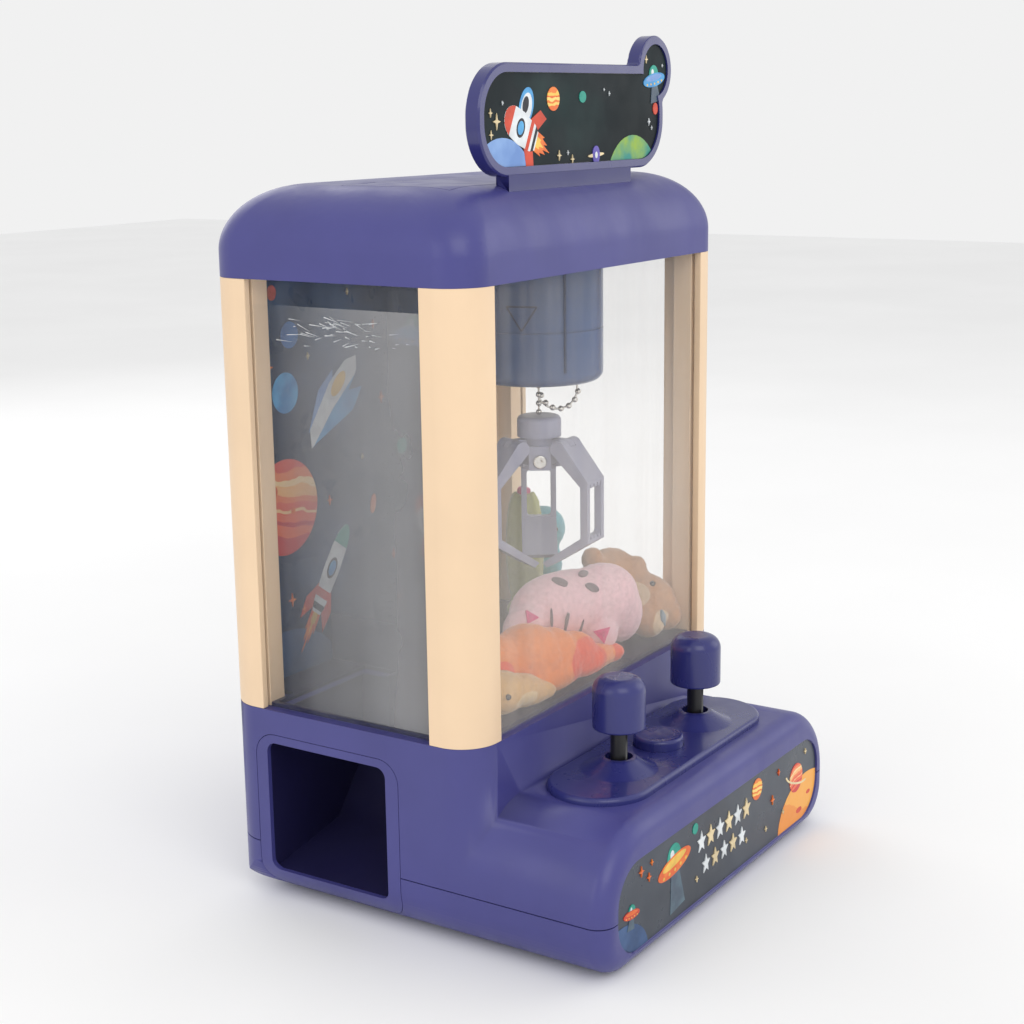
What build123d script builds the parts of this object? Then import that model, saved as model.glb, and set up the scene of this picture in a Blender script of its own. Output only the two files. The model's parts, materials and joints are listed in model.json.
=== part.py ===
from build123d import *
import math
import os

# Toy claw crane machine, in millimetres.
# Origin: centre of the footprint on the surface it stands on.
# +Z up, front (console) towards -Y, prize exit towards -X.

# ---- driving dimensions: whole machine ----
WIDTH = 230.0
DEPTH = 208.0
CABINET_DEPTH = 143.0
TRAY_BOTTOM = 1.5
SEAM_Z = 28.0
SEAM_GAP = 0.5
CONSOLE_TOP = 66.0
BASE_TOP = 95.0
ROOF_BOTTOM = 295.0
ROOF_TOP = 335.0
CORNER_ROUND = 18.0
BASE_BOTTOM_ROUND = 20.0
REAR_BOTTOM_ROUND = 25.0
CONSOLE_TOP_ROUND = 37.0
CONSOLE_FRONT_ROUND = 9.0
ROOF_ROUND = 29.0
WALL = 2.4
CONSOLE_FRONT_WALL = 5.0

HALF_WIDTH = WIDTH / 2
FRONT_Y = -DEPTH / 2
BACK_Y = DEPTH / 2
CABINET_FRONT_Y = BACK_Y - CABINET_DEPTH
CABINET_MID_Y = (CABINET_FRONT_Y + BACK_Y) / 2

# ---- corner columns and panes ----
COLUMN_FRONT_WIDTH = 21.5
COLUMN_SIDE_WIDTH = 24.0
COLUMN_BODY_DEPTH = 15.5
COLUMN_CORE_R = 4.5
PANE_SETBACK = 3.7
PANE_THICK = 1.5
SLOT_CLEAR = 0.1
SLOT_DEPTH = 3.0
BACK_WALL_THICK = 2.0
PRINT_THICK = 0.4

# ---- prize exit and chute ----
EXIT_Y = (10.0, 79.0)
EXIT_Z = (15.0, 79.0)
EXIT_ROUND = 5.0
FRAME_Y = (3.0, 85.6)
FRAME_Z = (6.0, 83.0)
FRAME_ROUND = 11.0
PART_LINE = 0.3
CHUTE_WALL = 2.0
CHUTE_INNER_X = -42.0
DROP_X = (-107.0, -42.0)
DROP_Y = (12.0, 77.0)
FLOOR_THICK = 2.0
FENCE_HEIGHT = 24.0
FENCE_WALL = 1.6

# ---- console controls ----
PANEL_Y = -66.7
PANEL_HALF = 79.0
PANEL_R = 24.5
PANEL_TOP = 69.5
PANEL_EDGE = 2.0
PANEL_SEAT = 3.0
STICK_X = 38.0
STICK_R = 4.0
STICK_TOP = 92.0
GIMBAL_Z = 64.0
DOME_TOP = 75.5
DOME_BASE_R = 18.5
STICK_HOLE_R = 6.5
KNOB_R = 12.3
KNOB_Z = (89.5, 114.0)
KNOB_TOP_ROUND = 6.5
PIN_R = 1.5
BORE_CLEAR = 0.06
RING_R = (6.5, 10.0)
CUP_R = (12.0, 17.0)
CUP_Z = 50.0
BUTTON_R = 12.0
BUTTON_TOP = 74.5
BUTTON_BOTTOM = 63.0
BUTTON_GAP = 0.3

# ---- front sign and topper ----
SIGN_HALF = (103.6, 20.9)
SIGN_ROUND = 17.8
SIGN_Z = 29.65
SIGN_RECESS = 2.0
SIGN_THICK = 1.0
TOPPER_Y = (-24.0, -16.5)
TOPPER_HALF_WIDTH = 81.0
TOPPER_Z = (338.0, 386.0)
TOPPER_ROUND = 22.5
TOPPER_RIM = 4.0
TOPPER_RECESS = 1.5
EAR_X = 73.0
EAR_R = 16.3
EAR_Z = 383.7
FOOT_X = (-58.0, 49.0)
FOOT_INSET = 0.4
FOOT_SINK = 8.0
FOOT_OVERLAP = 2.0
NOTCH_ROUND = 2.5
TOPPER_CHAMFER = 0.8
TOPPER_PRINT_THICK = 0.6
TOPPER_PRINT_CLEAR = 0.15

# ---- roof hatch ----
HATCH_HALF = 89.0
HATCH_Y = (-14.0, 43.6)
HATCH_GAP = 0.4
HINGE_Y = 46.5
HINGE_Z = ROOF_TOP - WALL / 2
HINGE_PIN_R = 0.7
EAR_SPAN = (60.0, 70.0)

# ---- gantry ----
CLAW_X = 27.0
CLAW_Y = 16.0
RING_Z = (296.0, 299.0)
RAIL_X = 103.0
RAIL_Z = 304.0
ROD_R = 2.5
CROSS_Z = 316.0
CROSS_DY = 12.0
END_BLOCK_X = (98.6, 107.4)
DRIVE_DY = 22.0
ROLLER_R = 5.0
AXLE_R = 1.5
ROLLER_GAP = 0.1

# ---- claw ----
HOUSING_R = 32.0
HOUSING_BOTTOM = 236.0
HOUSING_WALL = 2.0
DRUM_R = 8.0
DRUM_Z = 283.0
BEAD_R = 1.5
BEAD_PITCH = 4.4
LINK_R = 0.5
CLAW_TOP = 218.0
PIVOT_R = 15.0
PIVOT_Z = 203.0
FINGER_WIDTH = 18.0
EAR_THICK = 5.0
FINGER_ANGLES = (33.4, 153.4, 273.4)

os.makedirs("parts", exist_ok=True)


def save(name, part, count=1):
    """Label a finished piece and write it to its own file."""
    part.label = name
    export_step(part, "parts/" + name + ".step")
    print(name, "volume", round(part.volume), "solids", len(part.solids()), "of", count)


def base_block(inset, front_inset, front_round):
    """Closed form of the whole base, moved inwards by the given insets."""
    half = HALF_WIDTH - inset
    with BuildPart() as block:
        with BuildSketch(Plane.XZ.offset(-FRONT_Y - front_inset)) as outline:
            with Locations((0, (TRAY_BOTTOM + CONSOLE_TOP) / 2)):
                Rectangle(2 * half, CONSOLE_TOP - TRAY_BOTTOM - 2 * inset)
            fillet(outline.vertices().group_by(Axis.Y)[-1], radius=CONSOLE_TOP_ROUND - inset)
            fillet(outline.vertices().group_by(Axis.Y)[0], radius=BASE_BOTTOM_ROUND - inset)
        extrude(amount=-(DEPTH - front_inset - inset))
        if front_round > 0:
            fillet(block.faces().sort_by(Axis.Y)[0].edges(), radius=front_round)
        low = TRAY_BOTTOM + BASE_BOTTOM_ROUND
        with BuildSketch(Plane.XY.offset(low)):
            with Locations((0, CABINET_MID_Y)):
                RectangleRounded(2 * half, CABINET_DEPTH - 2 * inset, CORNER_ROUND - inset)
        extrude(amount=BASE_TOP - inset - low)
        with BuildSketch(Plane.XY) as plan:
            with Locations((0, (front_inset - inset) / 2)):
                Rectangle(2 * half, DEPTH - front_inset - inset)
            fillet(plan.vertices().group_by(Axis.Y)[-1], radius=CORNER_ROUND - inset)
        extrude(amount=BASE_TOP, mode=Mode.INTERSECT)
        with BuildSketch(Plane.YZ.offset(-WIDTH)) as side:
            with Locations(((front_inset - inset) / 2, (TRAY_BOTTOM + BASE_TOP) / 2)):
                Rectangle(DEPTH - front_inset - inset, BASE_TOP - TRAY_BOTTOM - 2 * inset)
            rear_low = side.vertices().group_by(Axis.Y)[0].sort_by(Axis.X)[-1]
            fillet(rear_low, radius=REAR_BOTTOM_ROUND - inset)
        extrude(amount=2 * WIDTH, mode=Mode.INTERSECT)
    return block.part


def roof_block(inset):
    """Closed form of the roof cap: a square-cut skirt under a softly rounded top."""
    half_x = HALF_WIDTH - inset
    half_y = CABINET_DEPTH / 2 - inset
    turn = ROOF_ROUND - inset
    start = ROOF_TOP - ROOF_ROUND
    steps = 5
    with BuildPart() as block:
        for step in range(steps + 1):
            angle = math.radians(90 * step / steps)
            shrink = turn * (1 - math.cos(angle))
            with BuildSketch(Plane.XY.offset(start + turn * math.sin(angle))):
                with Locations((0, CABINET_MID_Y)):
                    RectangleRounded(2 * (half_x - shrink), 2 * (half_y - shrink), CORNER_ROUND - inset)
        loft()
        with BuildSketch(Plane.XY.offset(ROOF_BOTTOM)):
            with Locations((0, CABINET_MID_Y)):
                RectangleRounded(2 * half_x, 2 * half_y, CORNER_ROUND - inset)
        extrude(amount=start - ROOF_BOTTOM)
    return block.part


def box_between(low, high):
    """Box from its lowest to its highest corner, joined to the part being built."""
    with Locations(tuple((a + b) / 2 for a, b in zip(low, high))):
        Box(*(b - a for a, b in zip(low, high)))


def cut_box(low, high):
    """Box-shaped cut from its lowest to its highest corner."""
    with Locations(tuple((a + b) / 2 for a, b in zip(low, high))):
        Box(*(b - a for a, b in zip(low, high)), mode=Mode.SUBTRACT)


def side_window(y_span, z_span, corner, x_low, x_high):
    """Prism through the -X wall with a rounded-rectangle outline."""
    with BuildPart() as prism:
        with BuildSketch(Plane.YZ.offset(x_low)):
            with Locations(((y_span[0] + y_span[1]) / 2, (z_span[0] + z_span[1]) / 2)):
                RectangleRounded(y_span[1] - y_span[0], z_span[1] - z_span[0], corner)
        extrude(amount=x_high - x_low)
    return prism.part


def sign_prism(grow, y_low, y_high):
    """Sign outline grown by a margin, between two Y planes."""
    with BuildPart() as prism:
        with BuildSketch(Plane.XZ.offset(-y_low)):
            with Locations((0, SIGN_Z)):
                RectangleRounded(2 * (SIGN_HALF[0] + grow), 2 * (SIGN_HALF[1] + grow), SIGN_ROUND + grow)
        extrude(amount=-(y_high - y_low))
    return prism.part


def panel_prism(shrink, z_low, z_high):
    """Stadium outline of the control panel, shrunk by a margin, between two heights."""
    radius = PANEL_R - shrink
    with BuildPart() as prism:
        with BuildSketch(Plane.XY.offset(z_low)):
            with Locations((0, PANEL_Y)):
                SlotOverall(2 * (PANEL_HALF - shrink), 2 * radius)
        extrude(amount=z_high - z_low)
    return prism.part


# ---- base: outer and inner forms shared by the tray and the shell ----
OUTER_BASE = base_block(0, 0, CONSOLE_FRONT_ROUND)
INNER_BASE = base_block(WALL, CONSOLE_FRONT_WALL, 0)
FRAME_CUT = side_window(
    (FRAME_Y[0] - PART_LINE, FRAME_Y[1] + PART_LINE),
    (FRAME_Z[0] - PART_LINE, FRAME_Z[1] + PART_LINE),
    FRAME_ROUND + PART_LINE,
    -HALF_WIDTH - 1,
    -HALF_WIDTH + BASE_BOTTOM_ROUND,
)
SIGN_POCKET = sign_prism(0.3, FRONT_Y - 1, FRONT_Y + SIGN_RECESS)
FOOT_PLACES = [(x, y) for x in (-88.0, 88.0) for y in (-84.0, 72.0)]
CASE_SCREW_PLACES = [
    (-60.0, -94.5),
    (60.0, -94.5),
    (-88.0, -8.0),
    (88.0, -20.0),
    (-10.0, 92.0),
    (100.0, 88.0),
]
DOOR_X = (-10.0, 78.0)
DOOR_Y = (16.0, 76.0)
DOOR_CLEAR = 0.3
BOSS_R = 3.6
SCREW_SHANK_R = 1.3
SCREW_HEAD_R = 2.8
SCREW_HEAD_H = 1.8

with BuildPart() as base_tray:
    add(OUTER_BASE)
    add(INNER_BASE, mode=Mode.SUBTRACT)
    cut_box((-WIDTH, -DEPTH, SEAM_Z - SEAM_GAP / 2), (WIDTH, DEPTH, 2 * BASE_TOP))
    with Locations(*[(x, y, TRAY_BOTTOM) for x, y in CASE_SCREW_PLACES]):
        Cylinder(BOSS_R, SEAM_Z - TRAY_BOTTOM, align=(Align.CENTER, Align.CENTER, Align.MIN))
    with Locations(*[(x, y, TRAY_BOTTOM) for x, y in CASE_SCREW_PLACES]):
        Cylinder(
            SCREW_SHANK_R + 0.2,
            SEAM_Z,
            align=(Align.CENTER, Align.CENTER, Align.MIN),
            mode=Mode.SUBTRACT,
        )
        Cylinder(
            SCREW_HEAD_R + 0.4,
            SCREW_HEAD_H + 2.0,
            align=(Align.CENTER, Align.CENTER, Align.MIN),
            mode=Mode.SUBTRACT,
        )
    cut_box((DOOR_X[0], DOOR_Y[0], 0), (DOOR_X[1], DOOR_Y[1], 2 * WALL))
    add(FRAME_CUT, mode=Mode.SUBTRACT)
    add(SIGN_POCKET, mode=Mode.SUBTRACT)
save("base_tray", base_tray.part)

SPEAKER_X = -38.0
SPEAKER_Z = 62.0
SPEAKER_SLOTS = 5
SPEAKER_SLOT_PITCH = 7.0
SPEAKER_SLOT = (2.6, 26.0)
SWITCH_X = 62.0
SWITCH_Z = 56.0
SWITCH_SLOT = (15.0, 7.0)

with BuildPart() as base_shell:
    add(OUTER_BASE)
    add(INNER_BASE, mode=Mode.SUBTRACT)
    cut_box((-WIDTH, -DEPTH, -1), (WIDTH, DEPTH, SEAM_Z + SEAM_GAP / 2))
    with BuildSketch(Plane.XY.offset(BASE_TOP - 2 * WALL)):
        with Locations(((DROP_X[0] + DROP_X[1]) / 2, (DROP_Y[0] + DROP_Y[1]) / 2)):
            Rectangle(DROP_X[1] - DROP_X[0], DROP_Y[1] - DROP_Y[0])
    extrude(amount=4 * WALL, mode=Mode.SUBTRACT)
    add(panel_prism(PANEL_SEAT, CONSOLE_TOP - 2 * WALL, CONSOLE_TOP + 1), mode=Mode.SUBTRACT)
    for x, y in CASE_SCREW_PLACES:
        post_top = CONSOLE_TOP - WALL if y < CABINET_FRONT_Y else BASE_TOP - WALL
        with Locations((x, y, SEAM_Z + 1.0)):
            Cylinder(BOSS_R, post_top - SEAM_Z - 1.0, align=(Align.CENTER, Align.CENTER, Align.MIN))
            Cylinder(
                SCREW_SHANK_R,
                12.0,
                align=(Align.CENTER, Align.CENTER, Align.MIN),
                mode=Mode.SUBTRACT,
            )
    with Locations((SPEAKER_X, BACK_Y, SPEAKER_Z)):
        with GridLocations(SPEAKER_SLOT_PITCH, 1, SPEAKER_SLOTS, 1):
            Box(SPEAKER_SLOT[0], 4 * WALL, SPEAKER_SLOT[1], mode=Mode.SUBTRACT)
    with Locations((SWITCH_X, BACK_Y, SWITCH_Z)):
        Box(SWITCH_SLOT[0], 4 * WALL, SWITCH_SLOT[1], mode=Mode.SUBTRACT)
    add(FRAME_CUT, mode=Mode.SUBTRACT)
    add(SIGN_POCKET, mode=Mode.SUBTRACT)
save("base_shell", base_shell.part)

# ---- prize exit ----
EXIT_OPENING = side_window(EXIT_Y, EXIT_Z, EXIT_ROUND, -HALF_WIDTH - 1, -HALF_WIDTH + BASE_BOTTOM_ROUND)
with BuildPart() as chute_frame:
    add(OUTER_BASE)
    add(INNER_BASE, mode=Mode.SUBTRACT)
    add(
        side_window(FRAME_Y, FRAME_Z, FRAME_ROUND, -HALF_WIDTH - 1, -HALF_WIDTH + BASE_BOTTOM_ROUND),
        mode=Mode.INTERSECT,
    )
    add(EXIT_OPENING, mode=Mode.SUBTRACT)
save("chute_frame", chute_frame.part)

CHUTE_MOUTH_X = -HALF_WIDTH + WALL
CHUTE_FLOOR_RISE = 9.0
with BuildPart() as prize_chute:
    with BuildSketch(Plane.XZ.offset(-EXIT_Y[0] + CHUTE_WALL)):
        with BuildLine():
            Polyline(
                (CHUTE_MOUTH_X, EXIT_Z[0]),
                (CHUTE_INNER_X - 22.0, EXIT_Z[0] + CHUTE_FLOOR_RISE),
                (CHUTE_INNER_X, EXIT_Z[0] + 4 * CHUTE_FLOOR_RISE),
                (CHUTE_INNER_X, BASE_TOP - WALL),
                (CHUTE_INNER_X + CHUTE_WALL, BASE_TOP - WALL),
                (CHUTE_INNER_X + CHUTE_WALL, EXIT_Z[0] + 4 * CHUTE_FLOOR_RISE - 1),
                (CHUTE_INNER_X - 21.0, EXIT_Z[0] + CHUTE_FLOOR_RISE - CHUTE_WALL),
                (CHUTE_MOUTH_X, EXIT_Z[0] - CHUTE_WALL),
                close=True,
            )
        make_face()
    extrude(amount=-(EXIT_Y[1] - EXIT_Y[0] + 2 * CHUTE_WALL))
    for y in (EXIT_Y[0] - CHUTE_WALL, EXIT_Y[1]):
        with BuildSketch(Plane.XZ.offset(-y)):
            with BuildLine():
                Polyline(
                    (CHUTE_MOUTH_X, EXIT_Z[0] - CHUTE_WALL),
                    (CHUTE_INNER_X - 21.0, EXIT_Z[0] + CHUTE_FLOOR_RISE - CHUTE_WALL),
                    (CHUTE_INNER_X + CHUTE_WALL, EXIT_Z[0] + 4 * CHUTE_FLOOR_RISE - 1),
                    (CHUTE_INNER_X + CHUTE_WALL, BASE_TOP - WALL),
                    (CHUTE_MOUTH_X, BASE_TOP - WALL),
                    close=True,
                )
            make_face()
        extrude(amount=-CHUTE_WALL)
    box_between(
        (CHUTE_MOUTH_X, EXIT_Y[0] - CHUTE_WALL, EXIT_Z[1]),
        (CHUTE_MOUTH_X + CHUTE_WALL, EXIT_Y[1] + CHUTE_WALL, BASE_TOP - WALL),
    )
    add(INNER_BASE, mode=Mode.INTERSECT)
save("prize_chute", prize_chute.part)

# ---- play field ----
PANE_INNER_X = HALF_WIDTH - PANE_SETBACK - PANE_THICK
PANE_INNER_FRONT_Y = CABINET_FRONT_Y + PANE_SETBACK + PANE_THICK
BACK_PANE_Y = BACK_Y - PANE_SETBACK - BACK_WALL_THICK
PRINT_Y = BACK_PANE_Y - PRINT_THICK
FLOOR_X = PANE_INNER_X - 0.3
FLOOR_Y = (PANE_INNER_FRONT_Y + 0.3, PRINT_Y - 0.3)

with BuildPart() as play_floor:
    box_between((-FLOOR_X, FLOOR_Y[0], BASE_TOP), (FLOOR_X, FLOOR_Y[1], BASE_TOP + FLOOR_THICK))
    for sx in (-1, 1):
        for sy in (-1, 1):
            with Locations(
                (
                    sx * (HALF_WIDTH - COLUMN_FRONT_WIDTH / 2),
                    CABINET_MID_Y + sy * (CABINET_DEPTH - COLUMN_SIDE_WIDTH) / 2,
                    BASE_TOP,
                )
            ):
                Box(COLUMN_FRONT_WIDTH + 0.6, COLUMN_SIDE_WIDTH + 0.6, 4 * FLOOR_THICK, mode=Mode.SUBTRACT)
    cut_box((DROP_X[0], DROP_Y[0], BASE_TOP - 1), (DROP_X[1], DROP_Y[1], BASE_TOP + 2 * FLOOR_THICK))
save("play_floor", play_floor.part)

FENCE_BASE = BASE_TOP + FLOOR_THICK
with BuildPart() as chute_fence:
    box_between(
        (DROP_X[1], DROP_Y[0] - FENCE_WALL, FENCE_BASE),
        (DROP_X[1] + FENCE_WALL, FLOOR_Y[1] - 0.3, FENCE_BASE + FENCE_HEIGHT),
    )
    box_between(
        (-FLOOR_X + 0.3, DROP_Y[0] - FENCE_WALL, FENCE_BASE),
        (DROP_X[1] + FENCE_WALL, DROP_Y[0], FENCE_BASE + FENCE_HEIGHT),
    )
save("chute_fence", chute_fence.part)

# ---- control panel with two stick domes ----
with BuildPart() as control_panel:
    add(panel_prism(0, CONSOLE_TOP, PANEL_TOP))
    fillet(control_panel.faces().sort_by(Axis.Z)[-1].edges(), radius=PANEL_EDGE)
    for sx in (-1, 1):
        with BuildSketch(Plane.XZ.offset(-PANEL_Y)):
            with BuildLine():
                Polyline(
                    (sx * STICK_X, PANEL_TOP - 1.0),
                    (sx * STICK_X + DOME_BASE_R, PANEL_TOP - 1.0),
                    (sx * STICK_X + DOME_BASE_R, PANEL_TOP),
                )
                ThreePointArc(
                    (sx * STICK_X + DOME_BASE_R, PANEL_TOP),
                    (sx * STICK_X + 13.6, PANEL_TOP + 2.2),
                    (sx * STICK_X + STICK_HOLE_R + 1.2, DOME_TOP),
                )
                Polyline(
                    (sx * STICK_X + STICK_HOLE_R + 1.2, DOME_TOP),
                    (sx * STICK_X, DOME_TOP),
                    (sx * STICK_X, PANEL_TOP - 1.0),
                )
            make_face()
        revolve(axis=Axis((sx * STICK_X, PANEL_Y, 0), (0, 0, 1)))
        with Locations((sx * STICK_X, PANEL_Y, CONSOLE_TOP - 1)):
            Cylinder(
                RING_R[1] + 1.6,
                PANEL_TOP - CONSOLE_TOP + 2.0,
                align=(Align.CENTER, Align.CENTER, Align.MIN),
                mode=Mode.SUBTRACT,
            )
            Cylinder(
                STICK_HOLE_R,
                BASE_TOP,
                align=(Align.CENTER, Align.CENTER, Align.MIN),
                mode=Mode.SUBTRACT,
            )
    with Locations((0, PANEL_Y, CONSOLE_TOP - 1)):
        Cylinder(
            BUTTON_R + BUTTON_GAP,
            BASE_TOP,
            align=(Align.CENTER, Align.CENTER, Align.MIN),
            mode=Mode.SUBTRACT,
        )
save("control_panel", control_panel.part)

# ---- joysticks ----
SIDES = (("left", -1), ("right", 1))
CUP_TOP = CONSOLE_TOP
with BuildPart() as joystick_sockets:
    for sx in (-1, 1):
        with Locations((sx * STICK_X, PANEL_Y, CUP_Z)):
            Cylinder(CUP_R[1], CUP_TOP - CUP_Z, align=(Align.CENTER, Align.CENTER, Align.MIN))
        with Locations((sx * STICK_X, PANEL_Y, CUP_Z + WALL)):
            Cylinder(
                CUP_R[0],
                CUP_TOP,
                align=(Align.CENTER, Align.CENTER, Align.MIN),
                mode=Mode.SUBTRACT,
            )
        with Locations(Location((sx * STICK_X, PANEL_Y, GIMBAL_Z), (0, 90, 0))):
            Cylinder(PIN_R + BORE_CLEAR, 2 * CUP_R[1] + 4.0, mode=Mode.SUBTRACT)
save("joystick_sockets", joystick_sockets.part, 2)

RING_HALF_HEIGHT = 2.2
for side_name, sx in SIDES:
    with BuildPart() as gimbal_ring:
        with Locations((sx * STICK_X, PANEL_Y, GIMBAL_Z)):
            Cylinder(RING_R[1], 2 * RING_HALF_HEIGHT)
        with Locations(Location((sx * STICK_X, PANEL_Y, GIMBAL_Z), (0, 90, 0))):
            Cylinder(PIN_R, 2 * CUP_R[1] - 3.0)
        with Locations((sx * STICK_X, PANEL_Y, GIMBAL_Z)):
            Cylinder(RING_R[0], 4 * RING_HALF_HEIGHT, mode=Mode.SUBTRACT)
        with Locations(Location((sx * STICK_X, PANEL_Y, GIMBAL_Z), (90, 0, 0))):
            Cylinder(PIN_R + BORE_CLEAR, 3 * RING_R[1], mode=Mode.SUBTRACT)
    save("gimbal_ring_" + side_name, gimbal_ring.part)

    with BuildPart() as joystick_shaft:
        with Locations((sx * STICK_X, PANEL_Y, GIMBAL_Z - 5.0)):
            Cylinder(STICK_R, STICK_TOP - GIMBAL_Z + 5.0, align=(Align.CENTER, Align.CENTER, Align.MIN))
        with Locations(Location((sx * STICK_X, PANEL_Y, GIMBAL_Z), (90, 0, 0))):
            Cylinder(PIN_R, 2 * RING_R[1] - 1.0)
    save("joystick_shaft_" + side_name, joystick_shaft.part)

    with BuildPart() as joystick_knob:
        with Locations((sx * STICK_X, PANEL_Y, KNOB_Z[0])):
            Cylinder(KNOB_R, KNOB_Z[1] - KNOB_Z[0], align=(Align.CENTER, Align.CENTER, Align.MIN))
        fillet(joystick_knob.faces().sort_by(Axis.Z)[-1].edges(), radius=KNOB_TOP_ROUND)
        fillet(joystick_knob.faces().sort_by(Axis.Z)[0].edges(), radius=1.0)
        with Locations((sx * STICK_X, PANEL_Y, KNOB_Z[0] - 1)):
            Cylinder(
                STICK_R,
                STICK_TOP - KNOB_Z[0] + 1,
                align=(Align.CENTER, Align.CENTER, Align.MIN),
                mode=Mode.SUBTRACT,
            )
    save("joystick_knob_" + side_name, joystick_knob.part)

with BuildPart() as start_button:
    with Locations((0, PANEL_Y, BUTTON_BOTTOM)):
        Cylinder(BUTTON_R, BUTTON_TOP - BUTTON_BOTTOM, align=(Align.CENTER, Align.CENTER, Align.MIN))
    fillet(start_button.faces().sort_by(Axis.Z)[-1].edges(), radius=1.5)
    with Locations((0, PANEL_Y, BUTTON_BOTTOM)):
        Cylinder(BUTTON_R + 2.0, 2.4, align=(Align.CENTER, Align.CENTER, Align.MIN))
    with Locations((0, PANEL_Y, BUTTON_TOP + 32.0)):
        Sphere(33.0, mode=Mode.SUBTRACT)
save("start_button", start_button.part)

with BuildPart() as console_sign:
    add(sign_prism(0, FRONT_Y + SIGN_RECESS - SIGN_THICK, FRONT_Y + SIGN_RECESS))
save("console_sign", console_sign.part)

# ---- corner columns: one profile, mirrored to four corners ----
for y_name, sy in (("front", -1), ("rear", 1)):
    for side_name, sx in SIDES:
        with BuildPart() as column:
            with BuildSketch(Plane.XY.offset(BASE_TOP)) as profile:
                outer_x = sx * HALF_WIDTH
                outer_y = CABINET_MID_Y + sy * CABINET_DEPTH / 2
                mid = (outer_x - sx * COLUMN_FRONT_WIDTH / 2, outer_y - sy * COLUMN_SIDE_WIDTH / 2)
                with Locations(mid):
                    Rectangle(COLUMN_FRONT_WIDTH, COLUMN_SIDE_WIDTH)
                outer_corner = profile.vertices().sort_by_distance((outer_x, outer_y))[0]
                fillet(outer_corner, radius=CORNER_ROUND)
                notch = (COLUMN_FRONT_WIDTH - COLUMN_BODY_DEPTH, COLUMN_SIDE_WIDTH - COLUMN_BODY_DEPTH)
                with Locations(
                    (
                        outer_x - sx * (COLUMN_FRONT_WIDTH - notch[0] / 2),
                        outer_y - sy * (COLUMN_SIDE_WIDTH - notch[1] / 2),
                    )
                ):
                    Rectangle(notch[0], notch[1], mode=Mode.SUBTRACT)
                pane = PANE_THICK if sy < 0 else BACK_WALL_THICK + PRINT_THICK
                with Locations(
                    (
                        outer_x - sx * (COLUMN_FRONT_WIDTH - SLOT_DEPTH / 2),
                        outer_y - sy * (PANE_SETBACK + pane / 2),
                    )
                ):
                    Rectangle(SLOT_DEPTH, pane + 2 * SLOT_CLEAR, mode=Mode.SUBTRACT)
                with Locations(
                    (
                        outer_x - sx * (PANE_SETBACK + PANE_THICK / 2),
                        outer_y - sy * (COLUMN_SIDE_WIDTH - SLOT_DEPTH / 2),
                    )
                ):
                    Rectangle(PANE_THICK + 2 * SLOT_CLEAR, SLOT_DEPTH, mode=Mode.SUBTRACT)
                with Locations((outer_x - sx * 10.4, outer_y - sy * 11.4)):
                    Circle(COLUMN_CORE_R, mode=Mode.SUBTRACT)
            extrude(amount=ROOF_BOTTOM - BASE_TOP)
        save("column_" + y_name + "_" + side_name, column.part)

# ---- panes, back wall and its print ----
PANE_REACH_X = HALF_WIDTH - COLUMN_FRONT_WIDTH + SLOT_DEPTH - 0.2
PANE_REACH_Y = CABINET_DEPTH / 2 - COLUMN_SIDE_WIDTH + SLOT_DEPTH - 0.2
with BuildPart() as window_front:
    box_between(
        (-PANE_REACH_X, CABINET_FRONT_Y + PANE_SETBACK, BASE_TOP),
        (PANE_REACH_X, CABINET_FRONT_Y + PANE_SETBACK + PANE_THICK, ROOF_BOTTOM),
    )
save("window_front", window_front.part)

for side_name, sx in SIDES:
    with BuildPart() as window_side:
        x_edges = sorted((sx * (HALF_WIDTH - PANE_SETBACK), sx * PANE_INNER_X))
        box_between(
            (x_edges[0], CABINET_MID_Y - PANE_REACH_Y, BASE_TOP),
            (x_edges[1], CABINET_MID_Y + PANE_REACH_Y, ROOF_BOTTOM),
        )
    save("window_" + side_name, window_side.part)

with BuildPart() as back_wall:
    box_between((-PANE_REACH_X, BACK_PANE_Y, BASE_TOP), (PANE_REACH_X, BACK_Y - PANE_SETBACK, ROOF_BOTTOM))
save("back_wall", back_wall.part)

with BuildPart() as backdrop_print:
    box_between((-PANE_REACH_X, PRINT_Y, BASE_TOP), (PANE_REACH_X, BACK_PANE_Y, ROOF_BOTTOM))
save("backdrop_print", backdrop_print.part)

# ---- roof cap and hatch ----
OUTER_ROOF = roof_block(0)
INNER_ROOF = roof_block(WALL)
LEDGE = 3.0
LEDGE_THICK = 1.4
NOTCH_REAR_Y = HINGE_Y + WALL / 2 + HATCH_GAP
with BuildPart() as roof_cap:
    add(OUTER_ROOF)
    add(INNER_ROOF, mode=Mode.SUBTRACT)
    cut_box(
        (-HATCH_HALF - HATCH_GAP, HATCH_Y[0] - HATCH_GAP, ROOF_TOP - ROOF_ROUND),
        (HATCH_HALF + HATCH_GAP, HATCH_Y[1] + HATCH_GAP, ROOF_TOP + 1),
    )
    for sx in (-1, 1):
        x_edges = sorted((sx * (EAR_SPAN[0] - HATCH_GAP), sx * (EAR_SPAN[1] + HATCH_GAP)))
        cut_box((x_edges[0], HATCH_Y[1], ROOF_TOP - 2 * WALL), (x_edges[1], NOTCH_REAR_Y, ROOF_TOP + 1))
        with Locations(Location((sx * (EAR_SPAN[0] + EAR_SPAN[1]) / 2, HINGE_Y, HINGE_Z), (0, 90, 0))):
            Cylinder(
                HINGE_PIN_R + BORE_CLEAR,
                EAR_SPAN[1] - EAR_SPAN[0] + 6.0,
                mode=Mode.SUBTRACT,
            )
    ledge_top = ROOF_TOP - WALL - 1.2
    box_between(
        (-HATCH_HALF - 1.5, HATCH_Y[0] - 5.0, ledge_top - LEDGE_THICK),
        (HATCH_HALF + 1.5, HATCH_Y[0] + LEDGE, ledge_top),
    )
save("roof_cap", roof_cap.part)

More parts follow.
